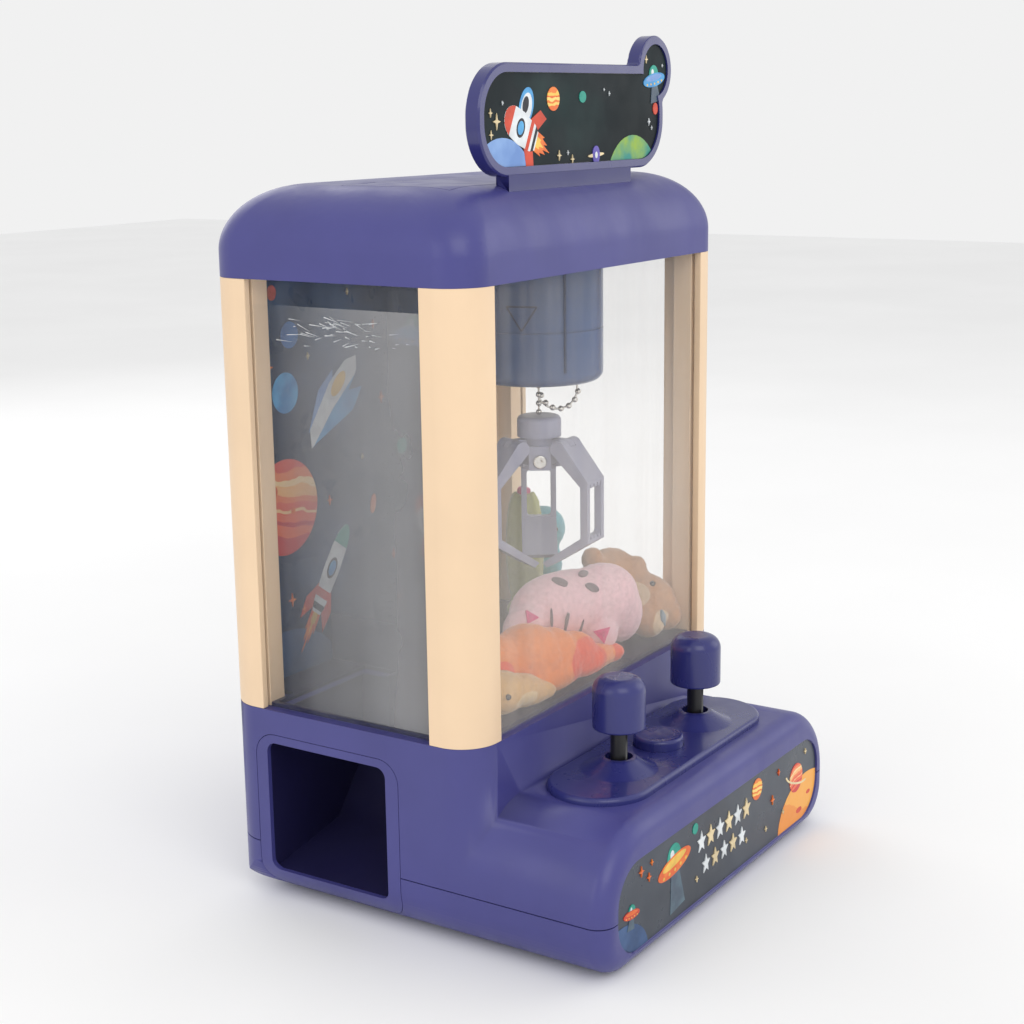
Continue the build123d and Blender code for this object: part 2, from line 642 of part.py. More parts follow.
with BuildPart() as roof_hatch:
    add(OUTER_ROOF)
    add(INNER_ROOF, mode=Mode.SUBTRACT)
    with Locations((0, (HATCH_Y[0] + HATCH_Y[1]) / 2, ROOF_TOP)):
        Box(2 * HATCH_HALF, HATCH_Y[1] - HATCH_Y[0], 4 * WALL, mode=Mode.INTERSECT)
    for sx in (-1, 1):
        x_mid = sx * (EAR_SPAN[0] + EAR_SPAN[1]) / 2
        ear_length = EAR_SPAN[1] - EAR_SPAN[0]
        with Locations((x_mid, (HATCH_Y[1] - 1 + HINGE_Y) / 2, HINGE_Z)):
            Box(ear_length, HINGE_Y - HATCH_Y[1] + 1, WALL)
        with Locations(Location((x_mid, HINGE_Y, HINGE_Z), (0, 90, 0))):
            Cylinder(WALL / 2, ear_length)
            Cylinder(HINGE_PIN_R, ear_length + 4.0)
save("roof_hatch", roof_hatch.part)

# ---- topper ----
def topper_outline(shrink):
    """Union of the long rounded sign and its round ear, shrunk by a margin."""
    height = TOPPER_Z[1] - TOPPER_Z[0]
    with Locations((0, (TOPPER_Z[0] + TOPPER_Z[1]) / 2)):
        RectangleRounded(2 * (TOPPER_HALF_WIDTH - shrink), height - 2 * shrink, TOPPER_ROUND - shrink)
    with Locations((EAR_X, EAR_Z)):
        Circle(EAR_R - shrink)


with BuildPart() as topper_shell:
    with BuildSketch(Plane.XZ.offset(-TOPPER_Y[0])) as topper_face:
        topper_outline(0)
        notch_corners = [
            corner
            for corner in topper_face.vertices()
            if abs(math.hypot(corner.X - EAR_X, corner.Y - EAR_Z) - EAR_R) < 0.01
        ]
        fillet(notch_corners, radius=NOTCH_ROUND)
    extrude(amount=-(TOPPER_Y[1] - TOPPER_Y[0]))
    chamfer(topper_shell.faces().filter_by(Axis.Y).edges(), length=TOPPER_CHAMFER)
    with BuildSketch(Plane.XZ.offset(-TOPPER_Y[0])):
        topper_outline(TOPPER_RIM)
    extrude(amount=-TOPPER_RECESS, mode=Mode.SUBTRACT)
    box_between(
        (FOOT_X[0], TOPPER_Y[0] + FOOT_INSET, ROOF_TOP - FOOT_SINK),
        (FOOT_X[1], TOPPER_Y[1] - FOOT_INSET, TOPPER_Z[0] + FOOT_OVERLAP),
    )
    add(OUTER_ROOF, mode=Mode.SUBTRACT)
save("topper_shell", topper_shell.part)

with BuildPart() as topper_print:
    with BuildSketch(Plane.XZ.offset(-TOPPER_Y[0] - TOPPER_RECESS + TOPPER_PRINT_THICK)):
        topper_outline(TOPPER_RIM + TOPPER_PRINT_CLEAR)
    extrude(amount=-TOPPER_PRINT_THICK)
save("topper_print", topper_print.part)

# ---- gantry frame and side rails ----
RING_INNER = (100.5, (-30.0, 92.0))
RAIL_SPAN = (-31.0, 96.0)
RING_CLEAR = 0.2
RING_ROUND = 8.0
LUG_LENGTH = 5.0
LUG_HALF_WIDTH = 5.0
LUG_OVERLAP = 0.5
LUG_WALL = 2.0
ROOF_INNER_X = HALF_WIDTH - WALL
with BuildPart() as gantry_frame:
    with BuildSketch(Plane.XY.offset(RING_Z[0])):
        with Locations((0, CABINET_MID_Y)):
            RectangleRounded(
                2 * (ROOF_INNER_X - RING_CLEAR),
                CABINET_DEPTH - 2 * (WALL + RING_CLEAR),
                CORNER_ROUND - WALL - RING_CLEAR,
            )
        with Locations((0, (RING_INNER[1][0] + RING_INNER[1][1]) / 2)):
            RectangleRounded(
                2 * RING_INNER[0],
                RING_INNER[1][1] - RING_INNER[1][0],
                RING_ROUND,
                mode=Mode.SUBTRACT,
            )
    extrude(amount=RING_Z[1] - RING_Z[0])
    for sx in (-1, 1):
        for y in (RAIL_SPAN[0], RAIL_SPAN[1] - LUG_LENGTH):
            box_between(
                (sx * RAIL_X - LUG_HALF_WIDTH, y, RING_Z[1] - LUG_OVERLAP),
                (sx * RAIL_X + LUG_HALF_WIDTH, y + LUG_LENGTH, RAIL_Z + ROD_R + LUG_WALL),
            )
        with Locations(Location((sx * RAIL_X, CABINET_MID_Y, RAIL_Z), (90, 0, 0))):
            Cylinder(ROD_R, CABINET_DEPTH - 2 * WALL - 1, mode=Mode.SUBTRACT)
save("gantry_frame", gantry_frame.part)

with BuildPart() as side_rails:
    rail_mid = (RAIL_SPAN[0] + RAIL_SPAN[1]) / 2
    with Locations(*[Location((sx * RAIL_X, rail_mid, RAIL_Z), (90, 0, 0)) for sx in (-1, 1)]):
        Cylinder(ROD_R, RAIL_SPAN[1] - RAIL_SPAN[0])
save("side_rails", side_rails.part, 2)

# ---- bridge: end blocks that slide on the side rails, joined by two cross rods ----
BLOCK_Y = (CLAW_Y - CROSS_DY - 5.0, CLAW_Y + DRIVE_DY + 4.0)
BLOCK_Z = (RING_Z[1] + 0.5, CROSS_Z + ROD_R + 2.5)
DRIVE_Z = RAIL_Z + ROD_R + ROLLER_GAP + ROLLER_R
DRIVE_Y = CLAW_Y + DRIVE_DY
with BuildPart() as bridge_blocks:
    for sx in (-1, 1):
        x_edges = sorted((sx * END_BLOCK_X[0], sx * END_BLOCK_X[1]))
        box_between((x_edges[0], BLOCK_Y[0], BLOCK_Z[0]), (x_edges[1], BLOCK_Y[1], BLOCK_Z[1]))
        with Locations(Location((sx * RAIL_X, CLAW_Y, RAIL_Z), (90, 0, 0))):
            Cylinder(ROD_R + BORE_CLEAR, DEPTH, mode=Mode.SUBTRACT)
        with Locations((sx * RAIL_X, DRIVE_Y, DRIVE_Z)):
            Box(4.6, 2 * ROLLER_R + 1.0, 2 * ROLLER_R + 1.0, mode=Mode.SUBTRACT)
        for dy in (-CROSS_DY, CROSS_DY):
            with Locations(Location((sx * RAIL_X, CLAW_Y + dy, CROSS_Z), (0, 90, 0))):
                Cylinder(ROD_R, 2 * (END_BLOCK_X[1] - END_BLOCK_X[0]), mode=Mode.SUBTRACT)
        with Locations(Location((sx * RAIL_X, DRIVE_Y, DRIVE_Z), (0, 90, 0))):
            Cylinder(AXLE_R + BORE_CLEAR, 2 * (END_BLOCK_X[1] - END_BLOCK_X[0]), mode=Mode.SUBTRACT)
save("bridge_blocks", bridge_blocks.part, 2)

with BuildPart() as bridge_rods:
    with Locations(*[Location((0, CLAW_Y + dy, CROSS_Z), (0, 90, 0)) for dy in (-CROSS_DY, CROSS_DY)]):
        Cylinder(ROD_R, 2 * END_BLOCK_X[1])
save("bridge_rods", bridge_rods.part, 2)

ROLLER_WIDTH = 3.6
with BuildPart() as bridge_axle:
    with Locations(Location((0, DRIVE_Y, DRIVE_Z), (0, 90, 0))):
        Cylinder(AXLE_R, 2 * END_BLOCK_X[1])
    with Locations(*[Location((sx * RAIL_X, DRIVE_Y, DRIVE_Z), (0, 90, 0)) for sx in (-1, 1)]):
        Cylinder(ROLLER_R, ROLLER_WIDTH)
save("bridge_axle", bridge_axle.part)

MOTOR_Y = BLOCK_Y[1]
MOTOR_PLATE = 1.5
MOTOR_PLATE_DEPTH = 14.5
MOTOR_LENGTH = 34.0
MOTOR_R = 7.5
with BuildPart() as bridge_motor:
    box_between(
        (END_BLOCK_X[0] - MOTOR_PLATE, MOTOR_Y - MOTOR_PLATE, BLOCK_Z[0] + 4.0),
        (END_BLOCK_X[0], MOTOR_Y + MOTOR_PLATE_DEPTH, BLOCK_Z[1]),
    )
    motor_x = END_BLOCK_X[0] - MOTOR_PLATE - MOTOR_LENGTH / 2
    motor_middle = (motor_x, MOTOR_Y + MOTOR_R + 0.5, BLOCK_Z[0] + MOTOR_R + 4.5)
    with Locations(Location(motor_middle, (0, 90, 0))):
        Cylinder(MOTOR_R, MOTOR_LENGTH)
save("bridge_motor", bridge_motor.part)

# ---- carriage: rides on the cross rods and carries the claw housing ----
LID_R = HOUSING_R - 2.0
LID_Z = (299.5, 302.0)
BLOCK_DX = 14.0
CARRIAGE_AXLE_Z = CROSS_Z + ROD_R + ROLLER_GAP + ROLLER_R
with BuildPart() as carriage_plate:
    with Locations((CLAW_X, CLAW_Y, LID_Z[0])):
        Cylinder(LID_R, LID_Z[1] - LID_Z[0], align=(Align.CENTER, Align.CENTER, Align.MIN))
    for dx in (-BLOCK_DX, BLOCK_DX):
        for dy in (-CROSS_DY, CROSS_DY):
            box_between(
                (CLAW_X + dx - 6.0, CLAW_Y + dy - 5.0, LID_Z[1] - 0.5),
                (CLAW_X + dx + 6.0, CLAW_Y + dy + 5.0, CROSS_Z + ROD_R + 2.5),
            )
    box_between(
        (CLAW_X - 4.0, CLAW_Y - 5.0, LID_Z[1] - 0.5),
        (CLAW_X + 4.0, CLAW_Y + 5.0, CARRIAGE_AXLE_Z + AXLE_R + 2.0),
    )
    for dy in (-CROSS_DY, CROSS_DY):
        with Locations(Location((CLAW_X, CLAW_Y + dy, CROSS_Z), (0, 90, 0))):
            Cylinder(ROD_R + BORE_CLEAR, 3 * LID_R, mode=Mode.SUBTRACT)
    with Locations(Location((CLAW_X, CLAW_Y, CARRIAGE_AXLE_Z), (90, 0, 0))):
        Cylinder(AXLE_R + BORE_CLEAR, 3 * LID_R, mode=Mode.SUBTRACT)
save("carriage_plate", carriage_plate.part)

with BuildPart() as carriage_axle:
    with Locations(Location((CLAW_X, CLAW_Y, CARRIAGE_AXLE_Z), (90, 0, 0))):
        Cylinder(AXLE_R, 2 * CROSS_DY + 6.0)
    with Locations(
        *[Location((CLAW_X, CLAW_Y + dy, CARRIAGE_AXLE_Z), (90, 0, 0)) for dy in (-CROSS_DY, CROSS_DY)]
    ):
        Cylinder(ROLLER_R, ROLLER_WIDTH)
save("carriage_axle", carriage_axle.part)

BAND_Z = 262.0
HOUSING_ROUND = 5.0
with BuildPart() as claw_housing:
    with Locations((CLAW_X, CLAW_Y, HOUSING_BOTTOM)):
        Cylinder(HOUSING_R, LID_Z[0] - HOUSING_BOTTOM, align=(Align.CENTER, Align.CENTER, Align.MIN))
    fillet(claw_housing.faces().sort_by(Axis.Z)[0].edges(), radius=HOUSING_ROUND)
    with Locations((CLAW_X, CLAW_Y, HOUSING_BOTTOM + HOUSING_WALL)):
        Cylinder(
            HOUSING_R - HOUSING_WALL - 2.0,
            LID_Z[0],
            align=(Align.CENTER, Align.CENTER, Align.MIN),
            mode=Mode.SUBTRACT,
        )
    with BuildSketch(Plane.XY.offset(BAND_Z)):
        with Locations((CLAW_X, CLAW_Y)):
            Circle(HOUSING_R + 1)
            Circle(HOUSING_R - 0.6, mode=Mode.SUBTRACT)
    extrude(amount=1.0, mode=Mode.SUBTRACT)
    with Locations((CLAW_X, CLAW_Y, HOUSING_BOTTOM - 1)):
        Cylinder(23.0, HOUSING_WALL + 2, align=(Align.CENTER, Align.CENTER, Align.MIN), mode=Mode.SUBTRACT)
save("claw_housing", claw_housing.part)

DRUM_Y = CLAW_Y + DRUM_R + BEAD_R + 0.2
DRUM_X = (CLAW_X - 7.0, CLAW_X + 7.0)
with BuildPart() as winch_drum:
    with Locations(Location((CLAW_X, DRUM_Y, DRUM_Z), (0, 90, 0))):
        Cylinder(DRUM_R, DRUM_X[1] - DRUM_X[0])
        Cylinder(AXLE_R, DRUM_X[1] - DRUM_X[0] + 10.0)
    with Locations(*[Location((x, DRUM_Y, DRUM_Z), (0, 90, 0)) for x in DRUM_X]):
        Cylinder(DRUM_R + 2.4, 1.2)
save("winch_drum", winch_drum.part)

with BuildPart() as winch_motor:
    box_between(
        (DRUM_X[1] + 2.0, DRUM_Y - 4.0, DRUM_Z - 4.0),
        (DRUM_X[1] + 4.4, DRUM_Y + 4.0, LID_Z[0]),
    )
    box_between(
        (DRUM_X[0] - 4.4, DRUM_Y - 4.0, DRUM_Z - 4.0),
        (DRUM_X[0] - 2.0, DRUM_Y + 4.0, LID_Z[0]),
    )
    with Locations(Location((CLAW_X, DRUM_Y, DRUM_Z), (0, 90, 0))):
        Cylinder(AXLE_R + BORE_CLEAR, 60.0, mode=Mode.SUBTRACT)
    box_between(
        (CLAW_X - 12.0, CLAW_Y - 23.0, DRUM_Z),
        (CLAW_X + 6.0, CLAW_Y - 16.0, LID_Z[0]),
    )
save("winch_motor", winch_motor.part, 3)

# ---- claw: bead chain, hub, screws and three hinged fingers ----
CHAIN_TOP = DRUM_Z
SLACK_DX = 10.4
SLACK_DY = -15.9
LOOP_Z = CLAW_TOP + 13.5
LOOP_R = 10.5
LOOP_START_Z = CLAW_TOP + 9.0
LOOP_LOW_Z = CLAW_TOP + 3.0
TAIL_FIRST_Z = CLAW_TOP + 16.4
LOOP_BEAD_ANGLES = (200, 225, 250, 275, 300, 325, 350)
SLACK = math.hypot(SLACK_DX, SLACK_DY)
with BuildPart() as claw_chain:
    with Locations((CLAW_X, CLAW_Y, CLAW_TOP)):
        Cylinder(LINK_R, CHAIN_TOP - CLAW_TOP, align=(Align.CENTER, Align.CENTER, Align.MIN))
    bead_count = int((CHAIN_TOP - CLAW_TOP) / BEAD_PITCH) + 1
    with Locations(*[(CLAW_X, CLAW_Y, CLAW_TOP + BEAD_R + i * BEAD_PITCH) for i in range(bead_count)]):
        Sphere(BEAD_R)
    tail_top = CHAIN_TOP - 2.0
    for bead_angle in LOOP_BEAD_ANGLES:
        angle = math.radians(bead_angle)
        reach = SLACK / 2 + SLACK / 2 * math.cos(angle) + 0.6
        height = LOOP_Z + LOOP_R * math.sin(angle)
        share = reach / SLACK
        with Locations((CLAW_X + share * SLACK_DX, CLAW_Y + share * SLACK_DY, height)):
            Sphere(BEAD_R)
    with BuildLine() as tail_line:
        ThreePointArc(
            (CLAW_X, CLAW_Y, LOOP_START_Z),
            (CLAW_X + SLACK_DX / 2, CLAW_Y + SLACK_DY / 2, LOOP_LOW_Z),
            (CLAW_X + SLACK_DX, CLAW_Y + SLACK_DY, LOOP_Z),
        )
        Line(
            (CLAW_X + SLACK_DX, CLAW_Y + SLACK_DY, LOOP_Z),
            (CLAW_X + SLACK_DX, CLAW_Y + SLACK_DY, tail_top),
        )
    with BuildSketch(Plane(tail_line.line @ 0, z_dir=tail_line.line % 0)):
        Circle(LINK_R)
    sweep(path=tail_line.line)
    tail_count = int((tail_top - TAIL_FIRST_Z) / BEAD_PITCH) + 1
    with Locations(
        *[
            (CLAW_X + SLACK_DX, CLAW_Y + SLACK_DY, TAIL_FIRST_Z + i * BEAD_PITCH)
            for i in range(tail_count)
        ]
    ):
        Sphere(BEAD_R)
save("claw_chain", claw_chain.part)

CORE_R = 9.0
HUB_R = 11.0
HUB_LOW = PIVOT_Z - 9.0
HUB_ROUND = 2.5
EAR_DISC_R = 4.0
EAR_DISC_GAP = 0.6
EAR_ROOT = 3.0
FACE_PAD = (5.0, 11.0, 12.0)
FACE_PAD_R = 9.0
SCREW_Z = 196.5
SCREW_SEAT_R = 11.5
SCREW_FACE_R = 3.4
SCREW_FACE_H = 1.6
SCREW_FACE_ROUND = 0.7
CROSS_SLOT = (3.6, 0.8)
CROSS_SLOT_DEPTH = 0.7
with BuildPart() as claw_hub:
    with Locations((CLAW_X, CLAW_Y, PIVOT_Z + EAR_DISC_R + EAR_DISC_GAP)):
        Cylinder(
            HUB_R,
            CLAW_TOP - PIVOT_Z - EAR_DISC_R - EAR_DISC_GAP,
            align=(Align.CENTER, Align.CENTER, Align.MIN),
        )
    fillet(claw_hub.faces().sort_by(Axis.Z)[-1].edges(), radius=HUB_ROUND)
    with Locations((CLAW_X, CLAW_Y, HUB_LOW)):
        Cylinder(CORE_R, CLAW_TOP - HUB_LOW - 6.0, align=(Align.CENTER, Align.CENTER, Align.MIN))
    for angle in FINGER_ANGLES:
        cos_a = math.cos(math.radians(angle))
        sin_a = math.sin(math.radians(angle))
        radial = Plane(origin=(CLAW_X, CLAW_Y, 0), x_dir=(cos_a, sin_a, 0), z_dir=(sin_a, -cos_a, 0))
        with BuildSketch(radial):
            with Locations(((PIVOT_R + CORE_R - EAR_ROOT) / 2, PIVOT_Z)):
                Rectangle(PIVOT_R - CORE_R + EAR_ROOT, 2 * EAR_DISC_R)
            with Locations((PIVOT_R, PIVOT_Z)):
                Circle(EAR_DISC_R)
                Circle(PIN_R + BORE_CLEAR, mode=Mode.SUBTRACT)
        extrude(amount=EAR_THICK / 2, both=True)
    for angle in FINGER_ANGLES:
        face_angle = math.radians(angle + 180)
        with Locations(
            Location(
                (
                    CLAW_X + FACE_PAD_R * math.cos(face_angle),
                    CLAW_Y + FACE_PAD_R * math.sin(face_angle),
                    HUB_LOW + FACE_PAD[2] / 3,
                ),
                (0, 0, angle + 180),
            )
        ):
            Box(*FACE_PAD)
save("claw_hub", claw_hub.part)

with BuildPart() as claw_screws:
    for angle in FINGER_ANGLES:
        face_angle = math.radians(angle + 180)
        head_plane = Plane(
            origin=(
                CLAW_X + SCREW_SEAT_R * math.cos(face_angle),
                CLAW_Y + SCREW_SEAT_R * math.sin(face_angle),
                SCREW_Z,
            ),
            z_dir=(math.cos(face_angle), math.sin(face_angle), 0),
        )
        outer_plane = head_plane.offset(SCREW_FACE_H)
        with BuildSketch(head_plane):
            Circle(SCREW_FACE_R)
        extrude(amount=SCREW_FACE_H)
        outer_face = claw_screws.faces().filter_by(head_plane).sort_by_distance(outer_plane.origin)[0]
        fillet(outer_face.edges(), radius=SCREW_FACE_ROUND)
        with BuildSketch(outer_plane):
            Rectangle(CROSS_SLOT[0], CROSS_SLOT[1])
            Rectangle(CROSS_SLOT[1], CROSS_SLOT[0])
        extrude(amount=-CROSS_SLOT_DEPTH, mode=Mode.SUBTRACT)
save("claw_screws", claw_screws.part, 3)

FINGER_REACH = 31.5
FINGER_WALL = 4.0
ARM_Z = (157.0, 188.0)
FINGER_OUTLINE = (
    (PIVOT_R + 2.4, PIVOT_Z + 3.2),
    (FINGER_REACH, ARM_Z[1]),
    (FINGER_REACH, ARM_Z[0]),
    (8.5, 142.6),
    (6.0, 144.8),
    (FINGER_REACH - FINGER_WALL, ARM_Z[0] + 2.4),
    (FINGER_REACH - FINGER_WALL, ARM_Z[1] - 2.8),
    (PIVOT_R - 2.6, PIVOT_Z - 3.0),
)
CHEEK_SLOT = EAR_THICK + 0.6
CHEEK_LENGTH = 2 * EAR_DISC_R + 4.6
GROOVES = (-5.4, -1.8, 1.8, 5.4)
GROOVE = (2.0, ARM_Z[1] - ARM_Z[0] - 3.0)
GROOVE_HALF_WIDTH = 0.7
for index, angle in enumerate(FINGER_ANGLES, start=1):
    cos_a = math.cos(math.radians(angle))
    sin_a = math.sin(math.radians(angle))
    radial = Plane(origin=(CLAW_X, CLAW_Y, 0), x_dir=(cos_a, sin_a, 0), z_dir=(sin_a, -cos_a, 0))
    with BuildPart() as finger:
        with BuildSketch(radial):
            with BuildLine():
                Polyline(*FINGER_OUTLINE, close=True)
            make_face()
            with Locations((PIVOT_R, PIVOT_Z)):
                Circle(EAR_DISC_R)
        extrude(amount=FINGER_WIDTH / 2, both=True)
        with BuildSketch(radial):
            with Locations((PIVOT_R - 2.0, PIVOT_Z)):
                Rectangle(CHEEK_LENGTH, 4 * EAR_DISC_R)
        extrude(amount=CHEEK_SLOT / 2, both=True, mode=Mode.SUBTRACT)
        with BuildSketch(radial):
            with Locations((PIVOT_R, PIVOT_Z)):
                Circle(PIN_R)
        extrude(amount=CHEEK_SLOT / 2 + 1, both=True)
        for groove in GROOVES:
            with BuildSketch(radial.offset(groove)):
                with Locations((FINGER_REACH, (ARM_Z[0] + ARM_Z[1]) / 2)):
                    Rectangle(*GROOVE)
            extrude(amount=GROOVE_HALF_WIDTH, both=True, mode=Mode.SUBTRACT)
    save("claw_finger_" + str(index), finger.part)

# ---- soft prizes: plain closed forms of each plush, as rounded blocks ----
PILE_Z = BASE_TOP + FLOOR_THICK + 0.4
CAT_TURN = -16.6
CAT_PLACE = (20.0, -9.5, 0.0)
PRIZES = {
    "prize_fish": (
        ((-66.0, -15.0, PILE_Z), (-30.0, 3.0, 120.0), 8.0),
        ((-38.0, -32.0, PILE_Z), (-24.5, 2.0, 118.0), 6.0),
        ((-27.0, -32.5, PILE_Z), (2.0, -20.5, 115.0), 5.5),
        ((-1.0, -32.5, PILE_Z), (30.0, -22.0, 104.5), 3.0),
    ),
    "prize_bun": (((-84.0, -32.5, PILE_Z), (-40.0, -17.0, 116.0), 7.0),),
    "prize_bear": (
        ((58.0, -6.0, 108.0), (92.0, 18.0, 141.0), 11.5),
        ((66.0, -32.5, PILE_Z), (92.5, 10.0, 124.0), 11.0),
        ((80.0, -13.0, PILE_Z), (106.0, 14.0, 120.0), 10.0),
    ),
    "prize_cactus": (((57.0, 41.0, PILE_Z), (79.0, 63.0, 170.0), 10.0),),
    "prize_octopus": (((82.0, 44.0, PILE_Z), (108.0, 70.0, 154.5), 12.0),),
}


def rounded_block(low, high, softness):
    """Box from its lowest to its highest corner with every edge rounded."""
    with BuildPart() as block:
        box_between(low, high)
        fillet(block.edges(), radius=softness)
    return block.part


cat_block = rounded_block((-43.0, -14.5, 106.0), (43.0, 14.5, 147.0), 14.0)
with BuildPart() as prize_cat:
    add(cat_block.moved(Location(CAT_PLACE, (0, 0, CAT_TURN))))
save("prize_cat", prize_cat.part)

for prize_name, blocks in PRIZES.items():
    rounded_blocks = [rounded_block(*block) for block in blocks]
    with BuildPart() as prize:
        add(rounded_blocks)
    save(prize_name, prize.part)

# ---- power, sound and control inside the base ----
CELL_R = 13.1
CELL_LENGTH = 50.0
CELL_PITCH = 28.0
BOX_FLOOR_Z = TRAY_BOTTOM + WALL
BOX_TOP_Z = 36.0
BOX_WALL = 2.0
CELL_Z = 20.0
CELL_TIP_R = 3.0
CELL_TIP = 1.5
with BuildPart() as battery_box:
    box_between(
        (DOOR_X[0] - BOX_WALL, DOOR_Y[0] - BOX_WALL, BOX_FLOOR_Z),
        (DOOR_X[1] + BOX_WALL, DOOR_Y[1] + BOX_WALL, BOX_TOP_Z),
    )
    cut_box((DOOR_X[0], DOOR_Y[0], 0), (DOOR_X[1], DOOR_Y[1], BOX_TOP_Z - BOX_WALL))
save("battery_box", battery_box.part)

with BuildPart() as battery_cells:
    cell_mid = ((DOOR_X[0] + DOOR_X[1]) / 2, (DOOR_Y[0] + DOOR_Y[1]) / 2)
    for index in (-1, 0, 1):
        with Locations(Location((cell_mid[0] + index * CELL_PITCH, cell_mid[1], CELL_Z), (90, 0, 0))):
            Cylinder(CELL_R, CELL_LENGTH)
            Cylinder(CELL_TIP_R, CELL_LENGTH + 2 * CELL_TIP)
save("battery_cells", battery_cells.part, 3)

FINGER_PULL = (22.0, 5.0, 2.0)
FINGER_PULL_Y = 8.0
with BuildPart() as battery_door:
    box_between(
        (DOOR_X[0] + DOOR_CLEAR, DOOR_Y[0] + DOOR_CLEAR, TRAY_BOTTOM),
        (DOOR_X[1] - DOOR_CLEAR, DOOR_Y[1] - DOOR_CLEAR, TRAY_BOTTOM + WALL),
    )
    with Locations((cell_mid[0], DOOR_Y[0] + FINGER_PULL_Y, TRAY_BOTTOM)):
        Box(*FINGER_PULL, mode=Mode.SUBTRACT)
save("battery_door", battery_door.part)

FOOT_R = 7.0
with BuildPart() as rubber_feet:
    with Locations(*[(x, y, 0) for x, y in FOOT_PLACES]):
        Cylinder(FOOT_R, TRAY_BOTTOM, align=(Align.CENTER, Align.CENTER, Align.MIN))
save("rubber_feet", rubber_feet.part, 4)

SCREW_SUNK = 2.0
SCREW_LENGTH = 34.0
with BuildPart() as case_screws:
    with Locations(*[(x, y, TRAY_BOTTOM + SCREW_SUNK) for x, y in CASE_SCREW_PLACES]):
        Cylinder(SCREW_HEAD_R, SCREW_HEAD_H, align=(Align.CENTER, Align.CENTER, Align.MIN))
        Cylinder(SCREW_SHANK_R, SCREW_LENGTH, align=(Align.CENTER, Align.CENTER, Align.MIN))
save("case_screws", case_screws.part, 6)

SPEAKER_CONE = (19.0, 4.0)
SPEAKER_MAGNET = (10.0, 12.0)
with BuildPart() as speaker:
    with Locations(Location((SPEAKER_X, BACK_Y - WALL, SPEAKER_Z), (90, 0, 0))):
        Cylinder(*SPEAKER_CONE, align=(Align.CENTER, Align.CENTER, Align.MIN))
        Cylinder(*SPEAKER_MAGNET, align=(Align.CENTER, Align.CENTER, Align.MIN))
save("speaker", speaker.part)

BOARD_Z = (50.0, 51.6)
BOARD_CHIPS = (
    ((-10.0, -2.0), (4.0, 12.0), 1.6),
    ((20.0, -4.0), (26.0, 2.0), 6.4),
    ((34.0, -4.0), (44.0, 10.0), 4.4),
)
with BuildPart() as circuit_board:
    box_between((-30.0, -10.0, BOARD_Z[0]), (50.0, 18.0, BOARD_Z[1]))
    for chip_low, chip_high, chip_height in BOARD_CHIPS:
        box_between((*chip_low, BOARD_Z[1]), (*chip_high, BOARD_Z[1] + chip_height))
save("circuit_board", circuit_board.part)

SWITCH_TRAVEL = 5.0
SLIDER_X = SWITCH_X - 7.0
SLIDER_HALF_HEIGHT = 3.1
FLANGE_X = (SWITCH_X - 14.0, SWITCH_X + 9.0)
FLANGE_HALF_HEIGHT = 6.0
with BuildPart() as power_switch:
    switch_rear_y = BACK_Y - WALL - 3.0
    box_between(
        (SLIDER_X, switch_rear_y, SWITCH_Z - SLIDER_HALF_HEIGHT),
        (SLIDER_X + SWITCH_SLOT[0] - SWITCH_TRAVEL - 1.0, BACK_Y - 0.2, SWITCH_Z + SLIDER_HALF_HEIGHT),
    )
    box_between(
        (FLANGE_X[0], switch_rear_y, SWITCH_Z - FLANGE_HALF_HEIGHT),
        (FLANGE_X[1], BACK_Y - WALL - 0.3, SWITCH_Z + FLANGE_HALF_HEIGHT),
    )
save("power_switch", power_switch.part)
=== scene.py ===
"""Toy claw crane machine: shells, panes, prints, claw and soft prizes, with light and camera.

Lengths are in metres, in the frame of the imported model: +Z up, the console towards -Y.
"""

import json
import logging
import math
import random
from dataclasses import dataclass, field
from enum import Enum

import bmesh
import bpy
from mathutils import Matrix, Vector


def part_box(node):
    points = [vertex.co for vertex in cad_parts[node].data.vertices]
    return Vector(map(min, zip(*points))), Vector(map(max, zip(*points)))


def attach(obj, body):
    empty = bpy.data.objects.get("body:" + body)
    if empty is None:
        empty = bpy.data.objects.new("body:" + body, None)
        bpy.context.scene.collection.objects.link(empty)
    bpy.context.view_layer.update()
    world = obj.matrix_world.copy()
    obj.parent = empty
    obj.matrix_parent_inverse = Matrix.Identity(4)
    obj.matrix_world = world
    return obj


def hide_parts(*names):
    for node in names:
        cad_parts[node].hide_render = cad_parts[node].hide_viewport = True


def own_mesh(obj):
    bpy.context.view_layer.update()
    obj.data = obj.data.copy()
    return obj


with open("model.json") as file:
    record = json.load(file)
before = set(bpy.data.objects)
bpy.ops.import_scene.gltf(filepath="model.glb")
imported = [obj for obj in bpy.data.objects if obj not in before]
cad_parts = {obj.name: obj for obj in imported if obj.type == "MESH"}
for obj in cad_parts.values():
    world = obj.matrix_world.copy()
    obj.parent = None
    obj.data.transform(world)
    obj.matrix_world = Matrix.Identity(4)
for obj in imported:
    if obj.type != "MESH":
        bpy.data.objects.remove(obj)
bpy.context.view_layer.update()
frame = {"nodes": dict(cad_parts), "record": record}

MM = 0.001
CREASE = 32.0
EDGE = 40.0
INK_STEP = 0.012 * MM
LOG = logging.getLogger("claw_machine")
Colour = tuple[float, float, float]
Triple = tuple[float, float, float]
Point = tuple[float, float]
Stops = tuple[tuple[float, Colour], ...]
Socket = bpy.types.NodeSocket


